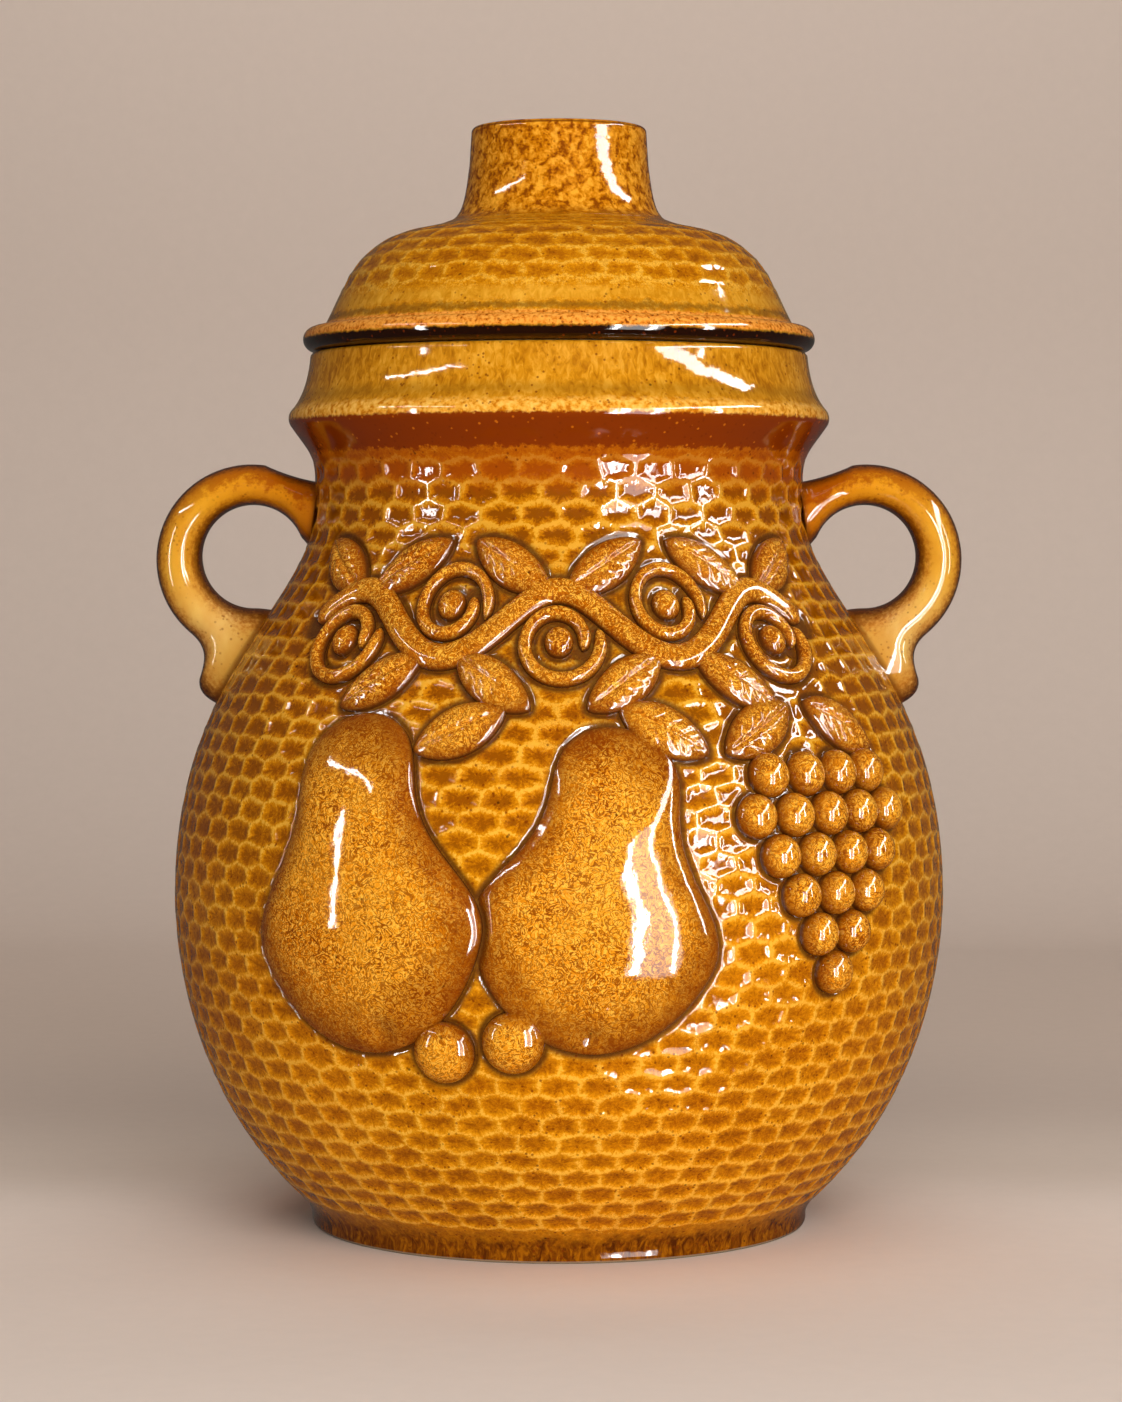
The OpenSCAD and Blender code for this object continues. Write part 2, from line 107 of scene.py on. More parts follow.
def resampled(points, step):
    """The same line with even steps."""
    length = np.r_[0, np.cumsum(np.linalg.norm(np.diff(points, axis=0), axis=1))]
    n = max(2, int(round(length[-1] / step)))
    at = np.linspace(0, length[-1], n + 1)
    return np.stack([np.interp(at, length, points[:, k]) for k in range(points.shape[1])], 1)


def smoothstep(x, low, high):
    t = np.clip((x - low) / (high - low), 0, 1)
    return t * t * (3 - 2 * t)


def turned(p, angle):
    c, s = np.cos(angle), np.sin(angle)
    return np.stack([p[..., 0] * c - p[..., 1] * s, p[..., 0] * s + p[..., 1] * c], -1)


# The jar's outer line
BELLY_START = FOOT_H + FOOT_FILLET
LOWER_H = BELLY_Z - BELLY_START
SHOULDER_H = NECK_Z - BELLY_Z
foot_line = bend((FOOT_R, FOOT_H), (FOOT_R + 0.4, FOOT_H + FOOT_FILLET / 2),
                 (FOOT_R + 3.5, BELLY_START), 24)
lower_line = bezier((FOOT_R + 3.5, BELLY_START), (BELLY_R - 2, BELLY_START + 0.362 * LOWER_H),
                    (BELLY_R, BELLY_Z - 0.116 * LOWER_H), (BELLY_R, BELLY_Z), 200)
shoulder_line = bezier((BELLY_R, BELLY_Z), (BELLY_R, BELLY_Z + 0.589 * SHOULDER_H),
                       (NECK_R, NECK_Z - 0.261 * SHOULDER_H), (NECK_R, NECK_Z), 240)
flare_line = bezier((NECK_R, NECK_TOP), (NECK_R + 0.1, NECK_TOP + 0.41 * RIDGE_RISE),
                    (NECK_R + 0.35 * (RIDGE_R - NECK_R), NECK_TOP + 0.5 * RIDGE_RISE),
                    (RIDGE_R - 0.9, RIDGE_Z - 2.5), 40)
ridge_line = bezier((RIDGE_R - 0.9, RIDGE_Z - 2.5), (RIDGE_R + 0.3, RIDGE_Z - 1.1),
                    (RIDGE_R + 0.3, RIDGE_Z + 1.1), (RIDGE_R - 1, RIDGE_Z + 2.6), 16)
collar_line = bezier((RIDGE_R - 1, RIDGE_Z + 2.6),
                     (RIM_R + 0.48 * (RIDGE_R - RIM_R), RIDGE_Z + 0.26 * RIM_RISE),
                     (RIM_R + 0.08 * (RIDGE_R - RIM_R), RIDGE_Z + 0.5 * RIM_RISE),
                     (RIM_R - 0.3, RIM_Z - RIM_ROUND), 40)
wall_line = joined(foot_line, lower_line, shoulder_line, [(NECK_R, NECK_TOP)])
WALL_Z, WALL_R = wall_line[:, 1], wall_line[:, 0]
WALL_S = np.r_[0, np.cumsum(np.linalg.norm(np.diff(wall_line, axis=0), axis=1))]


def wall_r(z):
    return np.interp(z, WALL_Z, WALL_R)


def wall_s(z):
    return np.interp(z, WALL_Z, WALL_S)


def on_wall(az, z, h):
    """Points at an angle from the front, a height, and a distance off the wall."""
    slope = (wall_r(z + 0.5) - wall_r(z - 0.5))
    n = np.sqrt(1 + slope ** 2)
    r = wall_r(z) + h / n
    return np.stack([r * np.sin(az), -r * np.cos(az), z - h * slope / n], -1)


class Motif:
    """A luted ornament: a closed outline or a raised line, drawn flat and laid on the wall."""

    def __init__(self, at, tilt, h, outline=None, path=None, width=0.0):
        self.az, self.z = math.radians(at[0]), at[1]
        self.tilt, self.h = math.radians(tilt), h
        self.outline, self.path, self.width = outline, path, width
        self.r = float(wall_r(self.z))
        shape = outline if outline is not None else path
        self.reach = np.abs(shape).max() + width / 2 + 6

    def laid(self, p, h):
        q = turned(np.asarray(p, float), self.tilt)
        return on_wall(self.az + q[..., 0] / self.r, self.z + q[..., 1], h)

    def flat(self, az, z):
        """The drawing's coordinates of places on the wall."""
        q = np.stack([(az - self.az) * self.r, z - self.z], -1)
        return turned(q, -self.tilt)

    def distance(self, az, z):
        """Distance outside the motif, negative within it, and large far away."""
        out = np.full(az.shape, 99.0)
        p = self.flat(az, z)
        near = (np.abs(p[..., 0]) < self.reach) & (np.abs(p[..., 1]) < self.reach)
        if not near.any():
            return out
        q = p[near]
        if self.outline is not None:
            d, inside = line_distance(q, np.vstack([self.outline, self.outline[:1]]), closed=True)
            out[near] = np.where(inside, -d, d)
        else:
            d, _ = line_distance(q, self.path, closed=False)
            out[near] = d - self.width / 2
        return out


def line_distance(q, line, closed):
    """Distance of points to a line of straight pieces, and whether each is inside it."""
    best = np.full(len(q), 1e9)
    inside = np.zeros(len(q), bool)
    for a, b in zip(line[:-1], line[1:]):
        ab = b - a
        t = np.clip(((q - a) @ ab) / max(ab @ ab, 1e-12), 0, 1)
        best = np.minimum(best, np.linalg.norm(q - (a + t[:, None] * ab), axis=1))
        if closed:
            crosses = (a[1] > q[:, 1]) != (b[1] > q[:, 1])
            with np.errstate(divide="ignore", invalid="ignore"):
                x = a[0] + (q[:, 1] - a[1]) * ab[0] / ab[1]
            inside ^= crosses & (q[:, 0] < x)
    return best, inside


# Outlines of the ornaments
def pear_outline(length, width, n=140):
    t = 2 * np.pi * np.arange(n) / n
    s = np.sin(t)
    bulge = np.where(s < -0.4, 0, np.sin(np.pi * (s + 0.4) / 1.65) ** 2)
    return np.stack([width / 2 * np.cos(t) * (1 - 0.42 * bulge), length / 2 * s], 1)


def leaf_outline(length, width, n=72):
    t = 2 * np.pi * np.arange(n) / n
    return np.stack([length / 2 * np.cos(t),
                     width / 2 * np.sin(t) * (0.5 + 0.5 * np.abs(np.sin(t)))], 1)


def round_outline(d, n=48):
    t = 2 * np.pi * np.arange(n) / n
    return d / 2 * np.stack([np.cos(t), np.sin(t)], 1)


# Zone of the fruits on the belly
FRUIT_Z = BELLY_Z + 11
PEAR_L, PEAR_W, REAR_PEAR_L, REAR_PEAR_W = 92.0, 75.0, 88.0, 73.0
FRUIT_TOP = FRUIT_Z + max(PEAR_L, REAR_PEAR_L) / 2
FRUIT_LOW = FRUIT_Z - max(PEAR_L, REAR_PEAR_L) / 2

# The vine across the shoulder
VINE_Z = FRUIT_TOP + 24
VINE_W, VINE_H, VINE_WAVES, VINE_WAVE_L, VINE_SWING = 7.0, 2.4, 5, 31.0, 9.0
VINE_LEAF_L, LEAF_H, TENDRIL_W, BERRY_D = 26.0, 3.2, 3.8, 8.0
VINE_HALF = VINE_WAVES * VINE_WAVE_L / 2
CRESTS = [((i + 0.5) * VINE_WAVE_L - VINE_HALF, 1 if i % 2 == 0 else -1) for i in range(VINE_WAVES)]
HOLLOW_Y = 0.55 * VINE_SWING


def vine_place(x, y):
    return math.degrees(x / float(wall_r(VINE_Z))), VINE_Z + y


def vine_motifs():
    x = np.linspace(-VINE_HALF, VINE_HALF, 161)
    stem = np.stack([x, VINE_SWING * np.sin(np.pi * (x + VINE_HALF) / VINE_WAVE_L)], 1)
    stems = [Motif((0, VINE_Z), 0, VINE_H, path=stem, width=VINE_W)]
    leaves, tendrils, berries = [], [], []
    for cx, way in CRESTS:
        for side in (-1, 1):
            at = vine_place(cx + side * 0.56 * VINE_LEAF_L, way * (VINE_SWING + 0.26 * VINE_LEAF_L))
            leaves.append(Motif(at, side * way * 33, LEAF_H,
                                outline=leaf_outline(VINE_LEAF_L, 0.46 * VINE_LEAF_L)))
        t = np.linspace(0, 1, 50)
        a = np.radians(way * (20 - 400 * t))
        r = 0.36 * VINE_WAVE_L * (1 - 0.42 * t)
        spiral = np.stack([cx + r * np.cos(a), -way * HOLLOW_Y + r * np.sin(a)], 1)
        tendrils.append(Motif((0, VINE_Z), 0, VINE_H, path=spiral, width=TENDRIL_W))
        berries.append(Motif(vine_place(cx, -way * HOLLOW_Y), 0, LEAF_H,
                             outline=round_outline(BERRY_D)))
    return stems, leaves, tendrils, berries


# The fruits on the belly
FRUIT_LEAF_L, GRAPE_D, CHERRY_D = 27.0, 12.2, 17.0
PEAR_H, REAR_PEAR_H = 7.0, 4.8
LEAF_PITCH, LEAF_TUCK = 28.7, 4.5
FRUIT_LEAVES = ((-0.94, 24), (1, -28), (2, 28), (3.05, -30))
GRAPE_ROWS = (4, 5, 4, 3, 2, 1)


def beside_front(x, z):
    """Angle and height of a place at a sideways distance from the jar's front."""
    return math.degrees(x / float(wall_r(z))), z


GRAPES_AT = beside_front(78.4, FRUIT_TOP - 17)
CHERRIES_AT = beside_front(-21.7, FRUIT_LOW + 3)


def fruit_motifs():
    front = Motif(beside_front(-57.1, FRUIT_Z), 7, PEAR_H, outline=pear_outline(PEAR_L, PEAR_W))
    rear = Motif(beside_front(11.9, FRUIT_Z - 1), -9, REAR_PEAR_H,
                 outline=pear_outline(REAR_PEAR_L, REAR_PEAR_W))
    leaves = [Motif(beside_front(share * LEAF_PITCH, FRUIT_TOP - LEAF_TUCK), tilt, LEAF_H,
                    outline=leaf_outline(FRUIT_LEAF_L, 0.5 * FRUIT_LEAF_L))
              for share, tilt in FRUIT_LEAVES]
    grapes = []
    pitch = GRAPE_D + 0.3
    for i, count in enumerate(GRAPE_ROWS):
        z = GRAPES_AT[1] - i * pitch * math.sin(math.radians(60))
        for j in range(count):
            x = (j - (count - 1) / 2) * pitch
            az = GRAPES_AT[0] + math.degrees(x / float(wall_r(z)))
            grapes.append(Motif((az, z), 0, 0.45 * GRAPE_D, outline=round_outline(GRAPE_D)))
    cherries = []
    for side in (-1, 1):
        x = side * 0.56 * CHERRY_D
        at = (CHERRIES_AT[0] + math.degrees(x / float(wall_r(CHERRIES_AT[1]))),
              CHERRIES_AT[1] + side * 0.09 * CHERRY_D)
        cherries.append(Motif(at, 0, 0.33 * CHERRY_D, outline=round_outline(CHERRY_D)))
    return front, rear, leaves, grapes, cherries


stems, vine_leaves, tendrils, berries = vine_motifs()
front_pear, rear_pear, fruit_leaves, grapes, cherries = fruit_motifs()
ALL_MOTIFS = (stems + vine_leaves + tendrils + berries + [front_pear, rear_pear]
              + fruit_leaves + grapes + cherries)


def relief_distance(az, z, motifs):
    out = np.full(az.shape, 99.0)
    for m in motifs:
        out = np.minimum(out, m.distance(az, z))
    return out


# Hammered cells
def cell_field(az, v, radius, row_h, width, stretch, seed, jitter=CELL_JITTER):
    """For places at an angle az and a distance v along the profile, where the wall has that
    radius: how near each is to its cell's edge, from 0 in the middle to 1 at the edge, and its
    way from that middle in millimetres with the cell's own number. The stretch makes the cells
    more like bricks than like even hexagons."""
    local = np.random.default_rng(seed)
    first, last = int(v.min() // row_h) - 3, int(v.max() // row_h) + 4
    order = np.argsort(v.ravel())
    v_sorted, r_sorted = v.ravel()[order], radius.ravel()[order]
    rows = {}
    for k in range(first, last + 1):
        r_k = float(np.interp(k * row_h, v_sorted, r_sorted))
        n = max(8, int(round(2 * math.pi * r_k / width)))
        rows[k] = (n, local.uniform(-jitter, jitter, n), local.uniform(-jitter, jitter, n),
                   0.5 * (k % 2))
    table_n = np.array([rows[k][0] for k in range(first, last + 1)])
    most = table_n.max()
    shift_u = np.zeros((len(table_n), most))
    shift_v = np.zeros((len(table_n), most))
    for i, k in enumerate(range(first, last + 1)):
        shift_u[i, :rows[k][0]] = rows[k][1]
        shift_v[i, :rows[k][0]] = rows[k][2]
    phase = np.array([rows[k][3] for k in range(first, last + 1)])
    base = np.floor(v / row_h).astype(int) - first
    one = np.full(az.shape, 1e9)
    two = np.full(az.shape, 1e9)
    first_way = np.zeros(az.shape + (2,))
    second_way = np.zeros(az.shape + (2,))
    number = np.zeros(az.shape)
    for dk in (-1, 0, 1, 2):
        i = np.clip(base + dk, 0, len(table_n) - 1)
        n = table_n[i]
        u = az * n / (2 * np.pi) - phase[i]
        for dj in (-1, 0, 1, 2):
            j = np.floor(u).astype(int) + dj
            jm = np.mod(j, n)
            du = (u - j - shift_u[i, jm]) * 2 * np.pi / n * radius
            dv = (v - (i + first + shift_v[i, jm]) * row_h) * stretch
            d = np.hypot(du, dv)
            way = np.stack([du, dv], -1)
            closer = d < one
            next_best = ~closer & (d < two)
            second_way[closer] = first_way[closer]
            two[closer] = one[closer]
            second_way[next_best] = way[next_best]
            two[next_best] = d[next_best]
            first_way[closer] = way[closer]
            one[closer] = d[closer]
            number[closer] = (i * 1.37 + jm * 0.731)[closer]
    across = first_way - second_way
    length = np.linalg.norm(across, axis=-1) + 1e-9
    steep = np.hypot(across[..., 0], across[..., 1] * stretch) / length
    inside = (two ** 2 - one ** 2) / (2 * length) / steep
    edge = 1 - np.clip(inside / (row_h / 2), 0, 1)
    return edge, np.stack([first_way[..., 0], first_way[..., 1] / stretch, number], -1)


def hollow(edge):
    """The share of a cell's depth at a place: a bowl with a flat-topped rim round it."""
    t = np.clip(edge / 0.86, 0, 1)
    return (1 - t ** 2) ** 1.35


# Mesh making
def make_mesh(name, points, quads, tris=(), layers=None):
    """A smooth-shaded object from points in millimetres, with float layers on its points."""
    quads = np.asarray(quads, np.int32).reshape(-1, 4)
    tris = np.asarray(tris, np.int32).reshape(-1, 3)
    mesh = bpy.data.meshes.new(name)
    mesh.vertices.add(len(points))
    mesh.vertices.foreach_set("co", (np.asarray(points, np.float64) * MM).astype(np.float32).ravel())
    mesh.loops.add(quads.size + tris.size)
    mesh.loops.foreach_set("vertex_index", np.concatenate([quads.ravel(), tris.ravel()]))
    starts = np.concatenate([np.arange(len(quads)) * 4, quads.size + np.arange(len(tris)) * 3])
    mesh.polygons.add(len(quads) + len(tris))
    mesh.polygons.foreach_set("loop_start", starts.astype(np.int32))
    mesh.update(calc_edges=True)
    mesh.validate()
    mesh.polygons.foreach_set("use_smooth", np.ones(len(mesh.polygons), bool))
    for key, values in (layers or {}).items():
        values = np.asarray(values, np.float32)
        if values.ndim > 1 and values.shape[-1] == 3 and values.size == 3 * len(points):
            layer = mesh.attributes.new(key, "FLOAT_VECTOR", "POINT")
            layer.data.foreach_set("vector", values.ravel())
        else:
            layer = mesh.attributes.new(key, "FLOAT", "POINT")
            layer.data.foreach_set("value", values.ravel())
    obj = bpy.data.objects.new(name, mesh)
    bpy.context.collection.objects.link(obj)
    return obj


def grid_quads(rows, cols, wrap=True, flip=False):
    i, j = np.meshgrid(np.arange(rows - 1), np.arange(cols if wrap else cols - 1), indexing="ij")
    k = (j + 1) % cols
    quads = np.stack([i * cols + j, i * cols + k, (i + 1) * cols + k, (i + 1) * cols + j], -1)
    quads = quads.reshape(-1, 4)
    return quads[:, ::-1] if flip else quads


def lathe(name, line, angles, lift=None, layers=None):
    """A closed turned piece. The line starts and ends on the axis or meets itself. lift moves
    its points along the surface normal."""
    closed = np.linalg.norm(line[0] - line[-1]) < 1e-6
    if closed:
        line = line[:-1]
    ahead = np.roll(line, -1, 0) if closed else np.vstack([line[1:], line[-1:]])
    behind = np.roll(line, 1, 0) if closed else np.vstack([line[:1], line[:-1]])
    along = ahead - behind
    along /= np.linalg.norm(along, axis=1)[:, None] + 1e-12
    normal = np.stack([along[:, 1], -along[:, 0]], 1)
    lift = np.zeros((len(line), len(angles))) if lift is None else lift
    r = line[:, :1] + lift * normal[:, :1]
    z = line[:, 1:] + lift * normal[:, 1:]
    points = np.stack([r * np.sin(angles), -r * np.cos(angles), z * np.ones_like(angles)], -1)
    n, m = points.shape[:2]
    quads = grid_quads(n, m)
    tris = np.zeros((0, 3), int)
    flat = points.reshape(-1, 3)
    if closed:
        j = np.arange(m)
        k = (j + 1) % m
        quads = np.vstack([quads, np.stack([(n - 1) * m + j, (n - 1) * m + k, k, j], 1)])
    else:
        # The first and last ring lie on the axis and become one point each
        j = np.arange(m)
        k = (j + 1) % m
        quads = quads[(quads[:, 0] >= m) & (quads[:, 2] < (n - 1) * m)]
        low, high = n * m, n * m + 1
        flat = np.vstack([flat, [[0, 0, line[0, 1]], [0, 0, line[-1, 1]]]])
        tris = np.vstack([np.stack([np.full(m, low), m + k, m + j], 1),
                          np.stack([np.full(m, high), (n - 2) * m + j, (n - 2) * m + k], 1)])
        used = np.r_[np.arange(m, (n - 1) * m), low, high]
        remap = np.zeros(n * m + 2, int)
        remap[used] = np.arange(len(used))
        quads, tris, flat = remap[quads], remap[tris], flat[used]
        trimmed = {}
        for key, values in (layers or {}).items():
            values = np.asarray(values).reshape(n * m, -1)[m:(n - 1) * m]
            values = np.vstack([values, np.zeros((2, values.shape[1]))])
            trimmed[key] = values if values.shape[1] == 3 else values.ravel()
        layers = trimmed
    return make_mesh(name, flat, quads, tris, layers)


def pad(motif, steps=34, sink=1.0, detail=None, over=()):
    """A domed ornament. detail(p, u) gives more height at flat places p, and over are the
    motifs that lie on top of this one."""
    outline = motif.outline
    n = len(outline)
    a = np.pi / 2 * np.arange(steps) / steps
    p = outline[None] * np.cos(a)[:, None, None]
    h = motif.h * np.sin(a)[:, None] * np.ones((1, n))
    if detail is not None:
        h = h + detail(p, np.cos(a)[:, None] * np.ones((1, n)))
    q = turned(p, motif.tilt)
    az = motif.az + q[..., 0] / motif.r
    z = motif.z + q[..., 1]
    # groove marks the ornament's sunk places, and its creases under ornaments on top, for painted shade and
    # reflection
    groove = smoothstep(-h, -1.6, 0.0)
    if over:
        d = relief_distance(az, z, over)
        h = (h + 1.0) * smoothstep(d, 0.2, 3.0) - 1.0
        groove = np.maximum(groove, 1 - smoothstep(d, 0.3, 2.4))
    points = np.concatenate([motif.laid(outline[None], -sink * np.ones((1, n))), motif.laid(p, h)])
    groove = np.concatenate([np.ones((1, n)), groove])
    rim = np.cos(a)[:, None] * np.ones((1, n))
    rim = np.concatenate([np.ones((1, n)), rim])
    rows = len(points)
    centre_top = motif.laid(np.zeros((1, 2)), np.array([h[-1].mean()]))
    flat = np.vstack([points.reshape(-1, 3), centre_top])
    j = np.arange(n)
    k = (j + 1) % n
    cap = np.stack([np.full(n, rows * n), (rows - 1) * n + j, (rows - 1) * n + k], 1)
    return flat, grid_quads(rows, n), cap, np.r_[groove.ravel(), groove[-1].mean()], np.r_[rim.ravel(), 0]


def stroke(motif, across=14, sink=1.0):
    """A raised line with a round back and tapered ends."""
    path = motif.path
    n = len(path)
    d = np.gradient(path, axis=0)
    d /= np.linalg.norm(d, axis=1)[:, None]
    side = np.stack([-d[:, 1], d[:, 0]], 1)
    step = np.arange(n)
    end = np.minimum(step, n - 1 - step)
    taper = np.sqrt(np.clip(1 - (1 - np.minimum(end / 4.0, 1)) ** 2, 0.02, 1))
    t = np.pi * np.arange(across + 1) / across
    p = path[:, None] + side[:, None] * (taper[:, None] * motif.width / 2 * np.cos(t))[..., None]
    h = taper[:, None] * motif.h * np.sin(t) - 0.001
    edge = np.array([[1.0, -1.0]])
    low = path[:, None] - side[:, None] * (taper[:, None] * motif.width / 2 * edge)[..., None]
    points = np.concatenate([motif.laid(p, h), motif.laid(low, -sink * np.ones((n, 2)))], 1)
    cols = across + 3
    # groove marks the sunk edges, for painted shade and reflection
    groove = np.concatenate([smoothstep(-h, -1.1, 0.0), np.ones((n, 2))], 1)
    cap_a = [[0, j, j + 1] for j in range(1, cols - 1)]
    cap_b = [[(n - 1) * cols, (n - 1) * cols + j + 1, (n - 1) * cols + j] for j in range(1, cols - 1)]
    rim = np.concatenate([np.abs(np.cos(t)) * np.ones((n, 1)), np.ones((n, 2))], 1)
    return (points.reshape(-1, 3), grid_quads(n, cols, flip=True), np.array(cap_a + cap_b),
            groove.ravel(), rim.ravel())


def gathered(name, parts):
    """One object from several closed shells."""
    points, quads, tris, groove, rim, at = [], [], [], [], [], 0
    for p, q, t, g, r in parts:
        points.append(p)
        quads.append(q + at)
        tris.append(t + at)
        groove.append(g)
        rim.append(r)
        at += len(p)
    return make_mesh(name, np.vstack(points), np.vstack(quads), np.vstack(tris),
                     {"groove": np.concatenate(groove), "rim": np.concatenate(rim)})


# The jar
def ring_angles(front_step, back_step, r):
    """Angles round the jar, finer at the front."""
    front = np.arange(-FRONT_HALF, FRONT_HALF, front_step / r)
    rest = 2 * np.pi - 2 * FRONT_HALF
    back = FRONT_HALF + np.arange(0, rest, back_step / r)[:-1]
    return np.concatenate([front, back])


def jar():
    outer = joined([(FOOT_R, FOOT_H)], foot_line, lower_line, shoulder_line, flare_line,
                   ridge_line, collar_line,
                   arc((RIM_R - 0.3 - RIM_ROUND, RIM_Z - RIM_ROUND), RIM_ROUND, 15, 90, 8))
    outer = resampled(outer, FINE_STEP)
    inner_belly = BELLY_R - WALL
    inner_neck = min(NECK_R - WALL, MOUTH_R)
    inner_foot = FOOT_R - WALL / 2
    lower = bezier((inner_foot - 9, FLOOR_Z), (inner_foot + 1, FLOOR_Z + 1),
                   (inner_foot + 8, BELLY_START + WALL + 2),
                   (inner_foot + 13, BELLY_START + WALL + 9), 10)
    side = bezier(lower[-1], (inner_belly - 4, BELLY_START + 0.5 * LOWER_H),
                  (inner_belly, BELLY_Z - 0.12 * LOWER_H), (inner_belly, BELLY_Z), 24)
    shoulder = bezier((inner_belly, BELLY_Z), (inner_belly, BELLY_Z + 0.575 * SHOULDER_H),
                      (inner_neck, NECK_Z - 0.28 * SHOULDER_H), (inner_neck, NECK_Z), 30)
    inner = joined(arc((MOUTH_R + RIM_ROUND, RIM_Z - RIM_ROUND), RIM_ROUND, 90, 180, 6),
                   [(MOUTH_R, RIDGE_Z + 6), (MOUTH_R, RIDGE_Z), (inner_neck, NECK_TOP)],
                   shoulder[::-1], side[::-1], lower[::-1],
                   [(inner_foot - 25, FLOOR_Z), (2, FLOOR_Z), (0, FLOOR_Z)])
    foot = joined([(0, FOOT_RECESS), (2, FOOT_RECESS)], [(FOOT_R - FOOT_RING_W - 2, FOOT_RECESS)],
                  bend((FOOT_R - FOOT_RING_W - 2, FOOT_RECESS), (FOOT_R - FOOT_RING_W - 0.5, FOOT_RECESS),
                       (FOOT_R - FOOT_RING_W, 0.0), 5),
                  [(FOOT_R - 4, 0.0)],
                  bend((FOOT_R - FOOT_ROUND, 0), (FOOT_R - 0.1, 0), (FOOT_R, FOOT_ROUND * 1.4), 6))
    line = joined(foot, outer, inner)
    angles = ring_angles(FINE_STEP, COARSE_STEP, BELLY_R)
    first, last = len(foot), len(foot) + len(outer)
    az = np.where(angles > np.pi, angles - 2 * np.pi, angles)
    z = line[:, 1]
    zone = np.zeros(len(line), bool)
    zone[first:last] = (z[first:last] > BELLY_START + 1) & (z[first:last] < CELL_TOP)
    s = np.zeros(len(line))
    s[zone] = wall_s(np.minimum(z[zone], NECK_TOP)) + np.maximum(z[zone] - NECK_TOP, 0)
    grid_az, grid_s = np.meshgrid(az, s[zone])
    grid_z = np.meshgrid(az, z[zone])[1]
    grid_r = np.meshgrid(az, line[zone, 0])[1]
    cell, place = cell_field(grid_az, grid_s, grid_r, CELL_ROW, CELL_W, CELL_STRETCH, 11)
    d = relief_distance(grid_az, grid_z, ALL_MOTIFS)
    ends = smoothstep(grid_s, 2.0, 7.0) * (1 - smoothstep(grid_s, s.max() - 2.5, s.max() - 0.3))
    free = smoothstep(d, 0.6, 3.4)
    # Grooves round the ornaments, which get painted shade and reflection
    groove = np.exp(-((d - 0.55) / 1.15) ** 2) * (d < 90)
    lift_zone = -CELL_DEPTH * hollow(cell) * ends * free - 0.75 * np.exp(-((d - 0.2) / 0.9) ** 2)
    lift_zone = np.where(d < 0, -0.75, lift_zone)
    lift = np.zeros((len(line), len(az)))
    lift[zone] = lift_zone
    cell_layer = np.full(lift.shape, 0.62)
    cell_layer[zone] = cell * ends * free + 0.62 * (1 - ends * free)
    groove_layer = np.zeros(lift.shape)
    groove_layer[zone] = np.where(d < 0, 1, groove)
    place_layer = np.zeros(lift.shape + (3,))
    place_layer[zone] = place
    obj = lathe("jar_skin", line, angles, lift,
                {"cell": cell_layer, "groove": groove_layer, "cell_place": place_layer})
    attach(obj, "jar")
    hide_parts("jar_body")
    return obj


# Ornaments
def leaf_detail(length):
    def detail(p, u):
        x, y = p[..., 0], p[..., 1]
        rib = np.exp(-(y / 0.7) ** 2)
        spacing = length / 6.5
        phase = (x - np.abs(y) * 0.9) / spacing
        vein = np.exp(-(((phase - np.round(phase)) * spacing) / 0.45) ** 2)
        inner = smoothstep(1 - u, 0.06, 0.35)
        return -inner * (1.0 * rib + 0.42 * vein * (1 - rib))
    return detail


def pear_detail(length, width):
    def detail(p, u):
        x, y = p[..., 0], p[..., 1]
        base = np.hypot(x - 0.04 * width, y + 0.425 * length)
        dent = -1.6 * np.exp(-(base / 3.6) ** 2)
        return dent + 0.5 * np.exp(-((base - 6.0) / 2.4) ** 2) * (u < 0.99)
    return detail


def ornaments():
    made = []

    def add(name, parts, node):
        obj = gathered(name, parts)
        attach(obj, "jar")
        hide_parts(node)
        made.append(obj)

    add("front_pear_sprig", [pad(front_pear, steps=60, detail=pear_detail(PEAR_L, PEAR_W))],
        "front_pear")
    add("rear_pear_sprig", [pad(rear_pear, steps=60, detail=pear_detail(REAR_PEAR_L, REAR_PEAR_W),
                                over=[front_pear])], "rear_pear")
    add("fruit_leaves", [pad(m, detail=leaf_detail(FRUIT_LEAF_L)) for m in fruit_leaves],
        "fruit_foliage")
    add("grapes", [pad(m, steps=14) for m in grapes], "grape_bunch")
    add("cherries", [pad(m, steps=18) for m in cherries], "cherry_pair")
    add("vine_stem_sprig", [stroke(m) for m in stems], "vine_stem")
    add("vine_leaves", [pad(m, steps=22, detail=leaf_detail(VINE_LEAF_L)) for m in vine_leaves],
        "vine_foliage")
    add("tendrils", [stroke(m, across=10) for m in tendrils], "vine_tendrils")
    add("berries", [pad(m, steps=12) for m in berries], "vine_berries")
    return made


# Handles
LOOP_Z = NECK_TOP - LOOP_DROP
LOOP_X = float(wall_r(LOOP_Z)) + LOOP_REACH
STRAP_C = np.array([LOOP_X + 0.5, LOOP_Z - 1])
STRAP_R = LOOP_R + STRAP_T + 0.4
ROOT = 1.5


